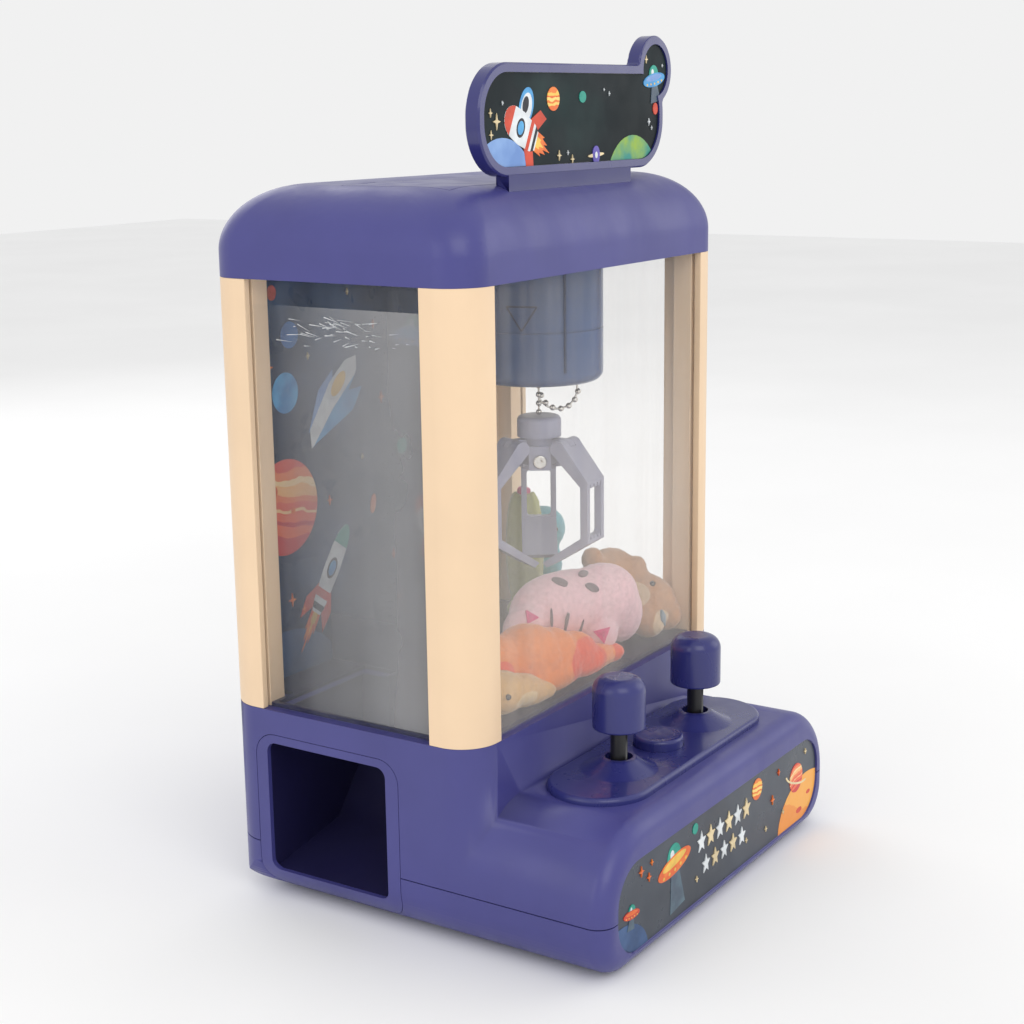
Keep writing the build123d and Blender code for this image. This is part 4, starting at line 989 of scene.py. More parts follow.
@dataclass
class Print:
    """Printed plate that faces -Y, with its motifs as thin layers of ink."""

    node: str
    thickness: float = 0.10 * MM
    layers: dict[str, list[bpy.types.Object]] = field(default_factory=dict)
    finishes: dict[str, object] = field(default_factory=dict)
    level: int = 0

    def add(self, outline: list[Point], finish: object, clip: bool = False) -> None:
        """Lay one flat shape of ink on the print.

        Args:
            outline: Points in the print's plane, in millimetres.
            finish: Ink of the shape.
            clip: True to cut the shape at the edge of the print.
        """
        self.level += 1
        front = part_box(self.node)[0].y
        top = front - self.thickness - INK_STEP * self.level
        bpy.ops.object.select_all(action="DESELECT")
        bpy.ops.mesh.primitive_circle_add(vertices=len(outline), radius=MM, fill_type="NGON")
        piece = active(f"{self.node}_shape_{self.level}")
        for vertex, (x, z) in zip(piece.data.vertices, outline):
            vertex.co = Vector((x * MM, top, z * MM))
        bpy.ops.object.mode_set(mode="EDIT")
        bpy.ops.mesh.select_all(action="SELECT")
        depth = (0.0, front - top - 0.01 * MM, 0.0)
        bpy.ops.mesh.extrude_region_move(TRANSFORM_OT_translate={"value": depth})
        bpy.ops.mesh.select_all(action="SELECT")
        bpy.ops.mesh.normals_make_consistent(inside=False)
        bpy.ops.object.mode_set(mode="OBJECT")
        if clip:
            self.trim(piece)
        self.finishes[finish.name] = finish
        self.layers.setdefault(finish.name, []).append(piece)

    def trim(self, piece: bpy.types.Object) -> None:
        """Cut a shape at the outline of the print.

        Args:
            piece: Shape to cut.
        """
        cutter = softened(self.node)
        low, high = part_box(self.node)
        middle = (low.y + high.y) / 2
        for vertex in cutter.data.vertices:
            vertex.co.y = low.y - 4 * MM if vertex.co.y < middle else high.y
        apply_modifier(piece, "BOOLEAN", operation="INTERSECT", solver="EXACT", object=cutter)
        bpy.data.objects.remove(cutter)

    def finish(self, slot: Slot) -> None:
        """Join the shapes of each ink into one piece on the cabinet.

        Args:
            slot: Slot of the pieces.
        """
        for name, shapes in self.layers.items():
            piece = joined(shapes, f"{self.node}_{name}")
            dress(piece, SHELF.get(self.finishes[name]))
            belong(piece, "cabinet", slot)


INK_WHITE = Ink("ink_white", Tone.WHITE)
INK_CREAM = Ink("ink_cream", Tone.CREAM_INK)
INK_ORANGE = Ink("ink_orange", Tone.ORANGE, (0.74, 0.13, 0.03))
INK_RED = Ink("ink_red", Tone.RED)
INK_YELLOW = Ink("ink_yellow", Tone.YELLOW)
INK_SKY = Ink("ink_sky_blue", Tone.SKY, (0.05, 0.25, 0.55))
INK_PALE = Ink("ink_pale_blue", Tone.PALE_BLUE, (0.15, 0.28, 0.60), 70.0)
INK_TEAL = Ink("ink_teal", Tone.TEAL)
INK_VIOLET = Ink("ink_violet", Tone.VIOLET, (0.09, 0.07, 0.35))
INK_DARK = Ink("ink_dark", (0.012, 0.014, 0.022))
INK_SLATE = Ink("ink_slate_blue", Tone.SLATE_BLUE, (0.03, 0.07, 0.17), 60.0)
INK_EARTH = Ink("ink_green_land", (0.28, 0.45, 0.05), (0.02, 0.26, 0.22), 75.0)
INK_BEAM = Ink("ink_light_beam", (0.10, 0.16, 0.20), (0.07, 0.10, 0.14))
INK_DEEP_BLUE = Ink("ink_deep_blue", (0.04, 0.18, 0.48), (0.03, 0.12, 0.36))
INK_CORAL = Ink("ink_coral", (0.70, 0.12, 0.10), (0.45, 0.10, 0.05), 260.0)
PLANET_BANDS = (
    (0.0, (0.62, 0.05, 0.05)),
    (0.20, (0.84, 0.16, 0.07)),
    (0.30, (0.60, 0.05, 0.05)),
    (0.34, (0.84, 0.15, 0.07)),
    (0.44, (0.94, 0.58, 0.28)),
    (0.47, (0.80, 0.13, 0.07)),
    (0.55, (0.86, 0.22, 0.08)),
    (0.62, (0.93, 0.50, 0.20)),
    (0.72, (0.95, 0.68, 0.36)),
    (0.78, (0.86, 0.24, 0.09)),
    (0.88, (0.74, 0.10, 0.06)),
)
STRIPES = (
    (0.0, (0.80, 0.16, 0.03)),
    (0.20, (0.93, 0.60, 0.14)),
    (0.32, (0.82, 0.20, 0.03)),
    (0.42, (0.95, 0.68, 0.20)),
    (0.56, (0.80, 0.16, 0.03)),
    (0.64, (0.94, 0.56, 0.10)),
    (0.78, (0.84, 0.22, 0.04)),
)


def planet(
    print_plate: Print, name: str, centre: Point, radius: float, stops: Stops, slant: float
) -> None:
    """Lay a banded planet on a print.

    Args:
        print_plate: Print that gets the planet.
        name: Name of its ink.
        centre: Its middle, in millimetres.
        radius: Its radius, in millimetres.
        stops: Bands from its foot to its top.
        slant: Turn of the bands from level in degrees.
    """
    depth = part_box(print_plate.node)[0].y
    ink = BandedInk(name, stops, (centre[0] * MM, depth, centre[1] * MM), radius * MM, slant)
    print_plate.add(ellipse(centre, (radius, radius), count=56), ink)


def nose_arc(steps: int, inner: bool = False) -> list[Point]:
    """Round top of a rocket, from right to left, or its inner points alone.

    Args:
        steps: Number of steps in the half turn.
        inner: True to leave out both ends.

    Returns:
        Points of the arc.
    """
    counts = range(1, steps) if inner else range(steps + 1)
    angles = [math.pi * index / steps for index in counts]
    return [(0.34 * math.cos(angle), 1.0 - 0.55 * (1 - math.sin(angle))) for angle in angles]


def rocket(
    print_plate: Print, centre: Point, size: float, lean: float, nose: Ink, girth: float = 1.0
) -> None:
    """Lay a plain rocket with a round window, fins and a flame on a print.

    Args:
        print_plate: Print that gets the rocket.
        centre: Middle of its hull, in millimetres.
        size: Half of the hull's length.
        lean: Turn from upright in degrees.
        nose: Ink of the nose.
        girth: Width as a share of the plain rocket's.
    """

    def part(points: list[Point]) -> list[Point]:
        """Scale and place one outline of the rocket."""
        return moved([(x * size * girth, z * size) for x, z in points], centre, lean)

    print_plate.add(part([(x, z - 0.72) for x, z in flame(0.85, 0.44)]), INK_ORANGE)
    core = [(0.55 * x, 0.6 * z - 0.72) for x, z in flame(0.85, 0.44, 3)]
    print_plate.add(part(core), INK_YELLOW)
    for sign in (-1, 1):
        fin = [(0.22 * sign, -0.15), (0.66 * sign, -0.62), (0.60 * sign, -1.02), (0.24 * sign, -0.72)]
        print_plate.add(part(fin), INK_RED)
    left = [(-0.36, 0.1), (-0.30, -0.55), (-0.2, -0.78)]
    right = [(0.2, -0.78), (0.30, -0.55), (0.36, 0.1)]
    print_plate.add(part(nose_arc(16) + left + right), INK_WHITE)
    print_plate.add(part(nose_arc(12, inner=True)), nose)
    print_plate.add(part([(-0.33, -0.32), (0.33, -0.32), (0.30, -0.48), (-0.30, -0.48)]), INK_RED)
    print_plate.add(part([(-0.29, -0.60), (0.29, -0.60), (0.24, -0.72), (-0.24, -0.72)]), INK_DARK)
    print_plate.add(part(ellipse((0.0, 0.12), (0.21, 0.21), count=24)), INK_DARK)
    print_plate.add(part(ellipse((0.0, 0.12), (0.15, 0.15), count=24)), INK_SKY)


def saucer(
    print_plate: Print,
    centre: Point,
    size: float,
    lean: float,
    hull: Ink,
    rim: Ink,
    reach: float = 1.0,
) -> None:
    """Lay a flying saucer with a dome, lamps and a beam on a print.

    Args:
        print_plate: Print that gets the saucer.
        centre: Middle of its hull, in millimetres.
        size: Half of the hull's width.
        lean: Turn from level in degrees.
        hull: Ink of the hull.
        rim: Ink of the ring under the dome.
        reach: Length of the beam as a share of the size.
    """

    def part(points: list[Point]) -> list[Point]:
        """Scale and place one outline of the saucer."""
        return moved([(x * size, z * size) for x, z in points], centre, lean)

    print_plate.add(part([(-0.24, -0.2), (0.24, -0.2), (0.46, -reach), (-0.46, -reach)]), INK_BEAM)
    print_plate.add(part(ellipse((0.0, 0.2), (0.42, 0.46), count=30)), INK_TEAL)
    print_plate.add(part(ellipse((-0.1, 0.34), (0.12, 0.16), count=16)), INK_WHITE)
    print_plate.add(part(ellipse((0.0, 0.0), (1.0, 0.30), count=40)), hull)
    print_plate.add(part(ellipse((0.0, 0.10), (0.72, 0.14), count=34)), rim)
    for step in range(-2, 3):
        lamp = (0.34 * step, -0.13 - 0.02 * (2 - abs(step)))
        print_plate.add(part(ellipse(lamp, (0.06, 0.05), count=12)), INK_YELLOW)


def craft(print_plate: Print, centre: Point, lean: float) -> None:
    """Lay a plain winged craft on a print: two wings, a hull, a stripe and a canopy.

    Args:
        print_plate: Print that gets the craft.
        centre: Its middle, in millimetres.
        lean: Turn from level in degrees.
    """
    hull = [(-28.0, -3.0), (-22.0, 4.5), (4.0, 8.5), (20.0, 6.5), (27.0, 1.5), (22.0, -4.0), (0.0, -7.5)]
    layers = [
        ([(-24.0, -4.0), (6.0, -15.5), (19.0, -13.0), (8.0, -4.0)], INK_SKY),
        ([(-24.0, 4.0), (-4.0, 12.5), (10.0, 11.0), (4.0, 5.0)], INK_PALE),
        (hull, INK_WHITE),
        ([(-27.0, -3.4), (0.0, -7.4), (20.0, -4.5), (-4.0, -2.5)], INK_SKY),
        (ellipse((8.0, 2.6), (7.5, 3.6)), INK_YELLOW),
    ]
    for outline, ink in layers:
        print_plate.add(moved(outline, centre, lean), ink)


def sparkles(print_plate: Print, places: list[Triple], ink: Ink) -> None:
    """Lay a sparkle at each place, given as x, z and radius."""
    for x, z, radius in places:
        print_plate.add(star((x, z), radius), ink)


def backdrop() -> None:
    """Print on the back wall: planets, a winged craft, rockets, a saucer and sparkles."""
    plate = Print("backdrop_print")
    plate.add(ellipse((-76.0, 76.0), (47.0, 44.0)), INK_SLATE, clip=True)
    plate.add(ellipse((70.0, 70.0), (52.0, 46.0)), INK_SLATE, clip=True)
    planet(plate, "banded_planet_large", (-72.0, 181.0), 23.5, PLANET_BANDS, 10.0)
    plate.add(ellipse((-80.0, 190.0), (2.2, 2.6)), INK_ORANGE)
    plate.add(ellipse((-67.0, 178.5), (1.6, 1.5)), INK_ORANGE)
    plate.add(ellipse((-69.3, 236.3), (9.4, 9.8)), INK_SKY)
    plate.add(ellipse((-64.6, 263.5), (6.4, 6.4)), INK_DEEP_BLUE)
    plate.add(ellipse((-76.2, 284.4), (3.2, 3.6)), INK_CORAL)
    craft(plate, (-33.0, 228.0), 44.0)
    rocket(plate, (-41.0, 141.0), 27.0, -35.0, INK_TEAL, 0.62)
    plate.add(ellipse((-4.0, 170.0), (2.2, 5.0), -12.0), INK_ORANGE)
    saucer(plate, (34.0, 252.0), 17.0, -8.0, INK_PALE, INK_SKY)
    planet(plate, "banded_planet_small", (66.0, 206.0), 13.0, STRIPES, -14.0)
    plate.add(ellipse((22.0, 196.0), (4.2, 4.2)), INK_TEAL)
    rocket(plate, (42.0, 150.0), 18.0, 24.0, INK_RED)
    plate.add(ellipse((80.0, 272.0), (7.0, 7.0)), INK_VIOLET)
    sparkles(
        plate,
        [
            (-84.0, 263.3, 3.2), (-80.7, 249.8, 3.6), (-83.5, 244.0, 2.2), (-70.6, 134.5, 3.4),
            (-62.0, 128.0, 2.0), (-39.3, 178.5, 2.6), (5.0, 224.0, 3.0), (12.0, 140.0, 2.4),
            (52.0, 228.0, 2.6), (86.0, 236.0, 3.4), (84.0, 172.0, 2.6), (0.0, 262.0, 2.4),
            (16.0, 116.0, 2.6),
        ],
        INK_ORANGE,
    )
    pale = [(-52.0, 252.0, 1.8), (-12.0, 196.0, 1.6), (58.0, 276.0, 2.0), (-20.0, 280.0, 1.6)]
    sparkles(plate, pale, INK_CREAM)
    plate.finish(Slot.PRINT)


def topper_scene() -> None:
    """Print on the topper: a rocket, planets, a saucer at its right end and sparkles."""
    plate = Print("topper_print")
    plate.add(ellipse((-62.5, 333.0), (24.5, 21.5)), INK_PALE, clip=True)
    plate.add(ellipse((51.5, 329.5), (25.0, 24.0)), INK_EARTH, clip=True)
    plate.add(ellipse((-42.8, 367.6), (5.6, 8.4), -22.0), INK_SKY)
    plate.add(ellipse((-42.8, 367.0), (4.2, 6.6), -22.0), INK_WHITE)
    plate.add(ellipse((-43.4, 368.2), (2.4, 3.8), -22.0), INK_DARK)
    rocket(plate, (-46.0, 357.6), 15.4, 64.0, INK_RED, 1.35)
    planet(plate, "striped_planet_topper", (-20.6, 370.6), 5.2, STRIPES, -6.0)
    plate.add(ellipse((4.8, 371.4), (3.0, 2.6)), INK_TEAL)
    plate.add(ellipse((73.8, 365.6), (2.4, 2.8)), INK_RED)
    saucer(plate, (72.4, 379.2), 10.6, 9.0, INK_SKY, INK_PALE)
    plate.add(ellipse((16.6, 345.1), (7.2, 0.9), 4.0), INK_CREAM)
    plate.add(ellipse((16.6, 345.1), (3.2, 4.2)), INK_VIOLET)
    plate.add(ellipse((16.6, 345.1), (1.2, 1.5)), INK_WHITE)
    large = [
        (-66.6, 361.3, 3.6), (-71.3, 364.9, 1.9), (-71.0, 355.8, 2.0), (-16.0, 345.8, 2.3),
        (-4.6, 343.8, 2.1), (64.4, 388.7, 1.9),
    ]
    sparkles(plate, large, INK_CREAM)
    small = [
        (28.9, 372.8, 1.1), (67.3, 359.4, 1.7), (70.0, 356.5, 1.0), (-8.6, 346.8, 1.1),
        (-62.0, 369.0, 0.9), (24.0, 374.6, 0.7), (80.5, 386.0, 0.8),
    ]
    sparkles(plate, small, INK_WHITE)
    plate.finish(Slot.PRINT)


def sign_scene() -> None:
    """Print on the console: saucers, planets, orange ground, rows of plain stars and sparkles."""
    plate = Print("console_sign")
    ground = BandedInk(
        "orange_ground",
        ((0.0, (0.62, 0.13, 0.02)), (0.4, (0.84, 0.30, 0.05)), (0.7, (0.90, 0.42, 0.08))),
        (88.0 * MM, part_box(plate.node)[0].y, 2.0 * MM),
        30.0 * MM,
        20.0,
    )
    plate.add(ellipse((92.0, 8.0), (33.0, 24.0)), ground, clip=True)
    plate.add(ellipse((84.0, 14.0), (3.4, 1.5)), INK_RED)
    plate.add(ellipse((95.0, 20.5), (2.4, 1.1)), INK_RED)
    plate.add(ellipse((-100.0, 6.0), (24.0, 18.0)), INK_SLATE, clip=True)
    saucer(plate, (-51.5, 35.5), 15.5, 8.0, INK_ORANGE, INK_YELLOW, 1.45)
    plate.add(ellipse((-31.7, 45.3), (2.6, 2.6)), INK_TEAL)
    planet(plate, "striped_planet_sign", (33.6, 42.4), 5.4, STRIPES, 8.0)
    planet(plate, "ringed_planet_sign", (79.5, 33.0), 7.6, PLANET_BANDS, -10.0)
    outer = ellipse((79.5, 33.0), (13.0, 3.4), -18.0, 48)
    inner = ellipse((79.5, 33.0), (11.6, 2.3), -18.0, 48)
    plate.add(outer[24:] + inner[24:][::-1], INK_CREAM)
    saucer(plate, (-91.0, 27.0), 7.0, -6.0, INK_RED, INK_ORANGE)
    for row, count in enumerate((6, 5)):
        for index in range(count):
            place = (9.4 * (index - (count - 1) / 2) - 2.0, 36.6 - 12.4 * row)
            ink = INK_CREAM if index % 2 else INK_WHITE
            plate.add(star(place, 5.4 - 0.6 * row, 5, 0.44), ink)
    bright = [
        (-82.4, 43.6, 2.6), (-75.5, 38.5, 2.2), (-73.0, 44.5, 1.5), (51.3, 30.6, 2.6), (58.0, 43.0, 1.8),
    ]
    sparkles(plate, bright, INK_ORANGE)
    pale = [
        (22.0, 20.0, 1.4), (-30.0, 20.0, 1.6), (44.0, 18.0, 1.5), (64.0, 20.0, 1.3), (90.0, 44.0, 1.6),
    ]
    sparkles(plate, pale, INK_CREAM)
    plate.finish(Slot.SIGN)


# ---------------------------------------------------------------- window film and housing mark


@dataclass
class WindowFilm:
    """Protective film behind the left pane, with rubbed scratches under its top edge."""

    top: float = 283.5 * MM
    bottom: float = 97.4 * MM
    y_span: Point = (-15.0 * MM, 80.0 * MM)
    thickness: float = 0.15 * MM
    scratches: int = 54
    seed: int = 11

    def build(self) -> None:
        """Make the film sheet and its scratches."""
        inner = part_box("window_left")[1].x
        bpy.ops.object.select_all(action="DESELECT")
        bpy.ops.mesh.primitive_cube_add(size=1.0)
        sheet = active("left_window_film")
        sheet.dimensions = (self.thickness, self.y_span[1] - self.y_span[0], self.top - self.bottom)
        sheet.location = (inner + 0.25 * MM, sum(self.y_span) / 2, (self.top + self.bottom) / 2)
        settle(sheet)
        self.ripple(sheet)
        dress(sheet, SHELF.get(FILM))
        belong(sheet, "cabinet", Slot.PANE)
        marks = self.scratch_marks(inner)
        dress(marks, SHELF.get(SCRATCH_WHITE))
        belong(marks, "cabinet", Slot.PANE)

    def ripple(self, sheet: bpy.types.Object) -> None:
        """Cut the sheet fine and let it wave slightly off the pane.

        Args:
            sheet: Flat sheet.
        """
        only(sheet)
        bpy.ops.object.mode_set(mode="EDIT")
        bpy.ops.mesh.select_all(action="SELECT")
        bpy.ops.mesh.subdivide(number_cuts=24)
        bpy.ops.object.mode_set(mode="OBJECT")
        for vertex in sheet.data.vertices:
            wave = math.sin(vertex.co.y / (9.0 * MM)) * math.sin(vertex.co.z / (31.0 * MM))
            vertex.co.x += 0.10 * MM * (1 + wave)
        smooth(sheet)

    def scratch_marks(self, inner: float) -> bpy.types.Object:
        """Make the thin pale scratches that fan out below the film's top edge.

        Args:
            inner: X of the pane's inner face.

        Returns:
            The scratches as one object.
        """
        draw = random.Random(self.seed)
        marks = []
        for _ in range(self.scratches):
            length = draw.uniform(1.2, 9.0) * MM
            y = draw.triangular(-13.0, 66.0, 34.0) * MM
            fall = abs(y - 34.0 * MM) * 0.12
            z = self.top - (draw.triangular(2.0, 17.0, 7.0) * MM + fall)
            bpy.ops.object.select_all(action="DESELECT")
            bpy.ops.mesh.primitive_cone_add(
                vertices=5, radius1=draw.uniform(0.10, 0.26) * MM, radius2=0.02 * MM, depth=length
            )
            mark = active("scratch")
            mark.scale = (0.3, 1.0, 1.0)
            mark.rotation_euler = (math.radians(90.0 + draw.gauss(0.0, 14.0)), 0.0, 0.0)
            mark.location = (inner + 0.18 * MM, y, z)
            settle(mark)
            marks.append(mark)
        return joined(marks, "left_window_scratches")


@dataclass
class HousingMark:
    """Raised triangle and two ribs on the claw housing, wrapped round its cylinder."""

    heading: float = 198.0
    height: float = 270.0
    size: float = 7.5
    line: float = 0.8

    def wrap(self, outline: list[Point], name: str) -> bpy.types.Object:
        """Bend a flat outline round the housing and give it thickness.

        Args:
            outline: Points as arc length and height, in millimetres.
            name: Name of the piece.

        Returns:
            The raised piece.
        """
        low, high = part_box("claw_housing")
        centre = (low + high) / 2
        radius = (high.x - low.x) / 2
        bpy.ops.object.select_all(action="DESELECT")
        bpy.ops.mesh.primitive_circle_add(vertices=len(outline), radius=MM, fill_type="NGON")
        piece = active(name)
        for vertex, (along, height) in zip(piece.data.vertices, outline):
            angle = math.radians(self.heading) + along * MM / radius
            reach = radius + 0.30 * MM
            across = Vector((math.cos(angle), math.sin(angle))) * reach
            vertex.co = Vector((centre.x + across.x, centre.y + across.y, height * MM))
        apply_modifier(piece, "SOLIDIFY", thickness=0.45 * MM, offset=-1.0)
        outward(piece)
        return piece

    def build(self) -> None:
        """Make the triangle's three bars and the two upright ribs beside it."""
        corners = [(-self.size, self.height + 5.0), (self.size, self.height + 5.0), (0.0, self.height - 6.5)]
        bars = []
        for index, start in enumerate(corners):
            end = corners[(index + 1) % 3]
            run = math.hypot(end[0] - start[0], end[1] - start[1])
            half = self.line / 2 / run
            side = ((end[1] - start[1]) * half, -(end[0] - start[0]) * half)
            shares = [step / 6 for step in range(7)]
            there = [
                (start[0] + (end[0] - start[0]) * share, start[1] + (end[1] - start[1]) * share)
                for share in shares
            ]
            outline = [(x + side[0], z + side[1]) for x, z in there]
            outline += [(x - side[0], z - side[1]) for x, z in there[::-1]]
            bars.append(self.wrap(outline, f"triangle_bar_{index}"))
        for along in (-21.0, 21.0):
            near = along - 0.5
            far = along + 0.5
            rib = [(near, 296.0), (far, 296.0), (far, 243.0), (near, 243.0)]
            bars.append(self.wrap(rib, f"rib_{along:.0f}"))
        mark = joined(bars, "claw_housing_mark")
        dress(mark, SHELF.get(MARK_PLASTIC))
        belong(mark, "carriage", Slot.HOUSING)


# ---------------------------------------------------------------- soft prizes


@dataclass(frozen=True)
class Lobe:
    """Ball of stuffing: centre and radii in millimetres, turned about Z and leaning about Y."""

    centre: Triple
    radii: Triple
    turn: float = 0.0
    lean: float = 0.0


@dataclass(frozen=True)
class Button:
    """Small mark set on a plush: the point it sits at, the way it is pressed in, its size and its finish."""

    aim: Triple
    towards: Triple
    size: Triple
    finish: object
    turn: float = 0.0
    corners: int = 20


@dataclass
class Plush:
    """Stuffed toy: lobes merged into one skin, swollen by a cloth run, with felt marks."""

    node: str
    slot: Slot
    pile: PlushPile
    lobes: list[Lobe]
    patches: list[Lobe] = field(default_factory=list)
    buttons: list[Button] = field(default_factory=list)
    voxel: float = 1.6 * MM
    swell: float = 1.4 * MM
    fill: float = 0.7
    steps: int = 20

    def build(self) -> None:
        """Make the skin and its marks, and tie them to the cabinet."""
        skin = self.stuffed()
        self.colour_patches(skin)
        dress(skin, SHELF.get(self.pile))
        belong(skin, "cabinet", self.slot, self.node)
        marks = [self.mark(skin, index, button) for index, button in enumerate(self.buttons)]
        for piece in [skin, *marks]:
            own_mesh(piece)

    def ball(self, lobe: Lobe) -> bpy.types.Object:
        """Make one lobe.

        Args:
            lobe: Lobe to make.

        Returns:
            The ball.
        """
        bpy.ops.object.select_all(action="DESELECT")
        bpy.ops.mesh.primitive_ico_sphere_add(subdivisions=4, radius=MM)
        piece = active("lobe")
        piece.scale = lobe.radii
        piece.rotation_euler = (0.0, math.radians(lobe.lean), math.radians(lobe.turn))
        piece.location = Vector(lobe.centre) * MM
        settle(piece)
        return piece

    def stuffed(self) -> bpy.types.Object:
        """Merge the lobes, smooth the joins, swell the skin and roughen its pile.

        Returns:
            The skin.
        """
        skin = joined([self.ball(lobe) for lobe in self.lobes], self.node + "_plush")
        skin.data.remesh_voxel_size = self.voxel
        only(skin)
        bpy.ops.object.voxel_remesh()
        apply_modifier(skin, "SMOOTH", factor=0.6, iterations=9)
        self.inflate(skin)
        apply_modifier(skin, "SUBSURF", levels=1, render_levels=1)
        tufts = bpy.data.textures.new(self.node + "_tufts", "CLOUDS")
        tufts.noise_scale = 1.6 * MM
        tufts.noise_depth = 3
        depth = 0.75 * MM
        apply_modifier(skin, "DISPLACE", texture=tufts, strength=depth, mid_level=0.5, texture_coords="LOCAL")
        smooth(skin, 180.0)
        return skin

    def inflate(self, skin: bpy.types.Object) -> None:
        """Run a short cloth simulation with inner pressure, and cap how far a point may move.

        Args:
            skin: Closed skin of the toy.
        """
        rest = [vertex.co.copy() for vertex in skin.data.vertices]
        only(skin)
        cloth = skin.modifiers.new("Cloth", "CLOTH")
        cloth.settings.use_pressure = True
        cloth.settings.uniform_pressure_force = 4.0
        cloth.settings.quality = 4
        cloth.settings.mass = 0.1
        cloth.settings.effector_weights.gravity = 0.0
        cloth.point_cache.frame_start = 1
        cloth.point_cache.frame_end = self.steps
        for step in range(1, self.steps + 1):
            bpy.context.scene.frame_set(step)
        bpy.ops.object.modifier_apply(modifier=cloth.name)
        bpy.context.scene.frame_set(1)
        for vertex, start in zip(skin.data.vertices, rest):
            shift = vertex.co - start
            if shift.length > self.swell:
                vertex.co = start + shift.normalized() * self.swell

    def colour_patches(self, skin: bpy.types.Object) -> None:
        """Write how far each point lies inside a patch of the second colour.

        Args:
            skin: Finished skin of the toy.
        """
        shares = []
        for vertex in skin.data.vertices:
            share = 0.0
            for patch in self.patches:
                turn = Matrix.Rotation(math.radians(-patch.turn), 3, "Z")
                offset = turn @ (vertex.co / MM - Vector(patch.centre))
                away = Vector(offset[axis] / patch.radii[axis] for axis in range(3)).length
                share = max(share, min(1.0, max(0.0, 0.5 + (1.0 - away) * 2.5)))
            shares.append(share)
        attribute = skin.data.attributes.new("patch", "FLOAT", "POINT")
        attribute.data.foreach_set("value", shares)

    def mark(self, skin: bpy.types.Object, index: int, button: Button) -> bpy.types.Object:
        """Make one domed mark and seat it where its line of sight meets the skin.

        Args:
            skin: Finished skin of the toy.
            index: Number of the mark.
            button: What the mark is like.

        Returns:
            The mark, riding on the cabinet.
        """
        direction = Vector(button.towards).normalized()
        start = Vector(button.aim) * MM - direction * 40 * MM
        hit, point, normal, _ = skin.ray_cast(start, direction)
        if not hit:
            _, point, normal, _ = skin.closest_point_on_mesh(Vector(button.aim) * MM)
        bpy.ops.object.select_all(action="DESELECT")
        bpy.ops.mesh.primitive_cylinder_add(vertices=button.corners, radius=MM, depth=2 * MM)
        piece = active(f"{self.node}_mark_{index}")
        bpy.ops.object.mode_set(mode="EDIT")
        shell = bmesh.from_edit_mesh(piece.data)
        for face in shell.faces:
            face.select = face.normal.z > 0.9
        bmesh.update_edit_mesh(piece.data)
        bpy.ops.mesh.inset(thickness=0.30 * MM)
        bpy.ops.transform.translate(value=(0.0, 0.0, 0.35 * MM))
        bpy.ops.mesh.inset(thickness=0.30 * MM)
        bpy.ops.transform.translate(value=(0.0, 0.0, 0.15 * MM))
        bpy.ops.object.mode_set(mode="OBJECT")
        turn = Matrix.Rotation(math.radians(button.turn), 4, "Z")
        tilt = normal.to_track_quat("Z", "Y").to_matrix().to_4x4()
        size = Matrix.Diagonal((*button.size, 1.0))
        piece.matrix_world = Matrix.Translation(point) @ tilt @ turn @ size
        settle(piece)
        smooth(piece, 50.0)
        dress(piece, SHELF.get(button.finish))
        return belong(piece, "cabinet", self.slot)


FELT_MAGENTA = PlushPile("felt_magenta", (0.72, 0.035, 0.20), (0.72, 0.035, 0.20))
FELT_GREY = PlushPile("felt_grey", (0.16, 0.11, 0.13), (0.16, 0.11, 0.13))
FELT_BLUE = PlushPile("felt_blue_grey", (0.16, 0.24, 0.30), (0.16, 0.24, 0.30))
FELT_CREAM = PlushPile("felt_cream", (0.72, 0.55, 0.36), (0.72, 0.55, 0.36))
BEAD_BLACK = MouldedPlastic("eye_bead_black", (0.01, 0.01, 0.01), 0.1, 0.12, 0.02, 0.6)
TO_BACK = (0.82, 0.56, -0.12)


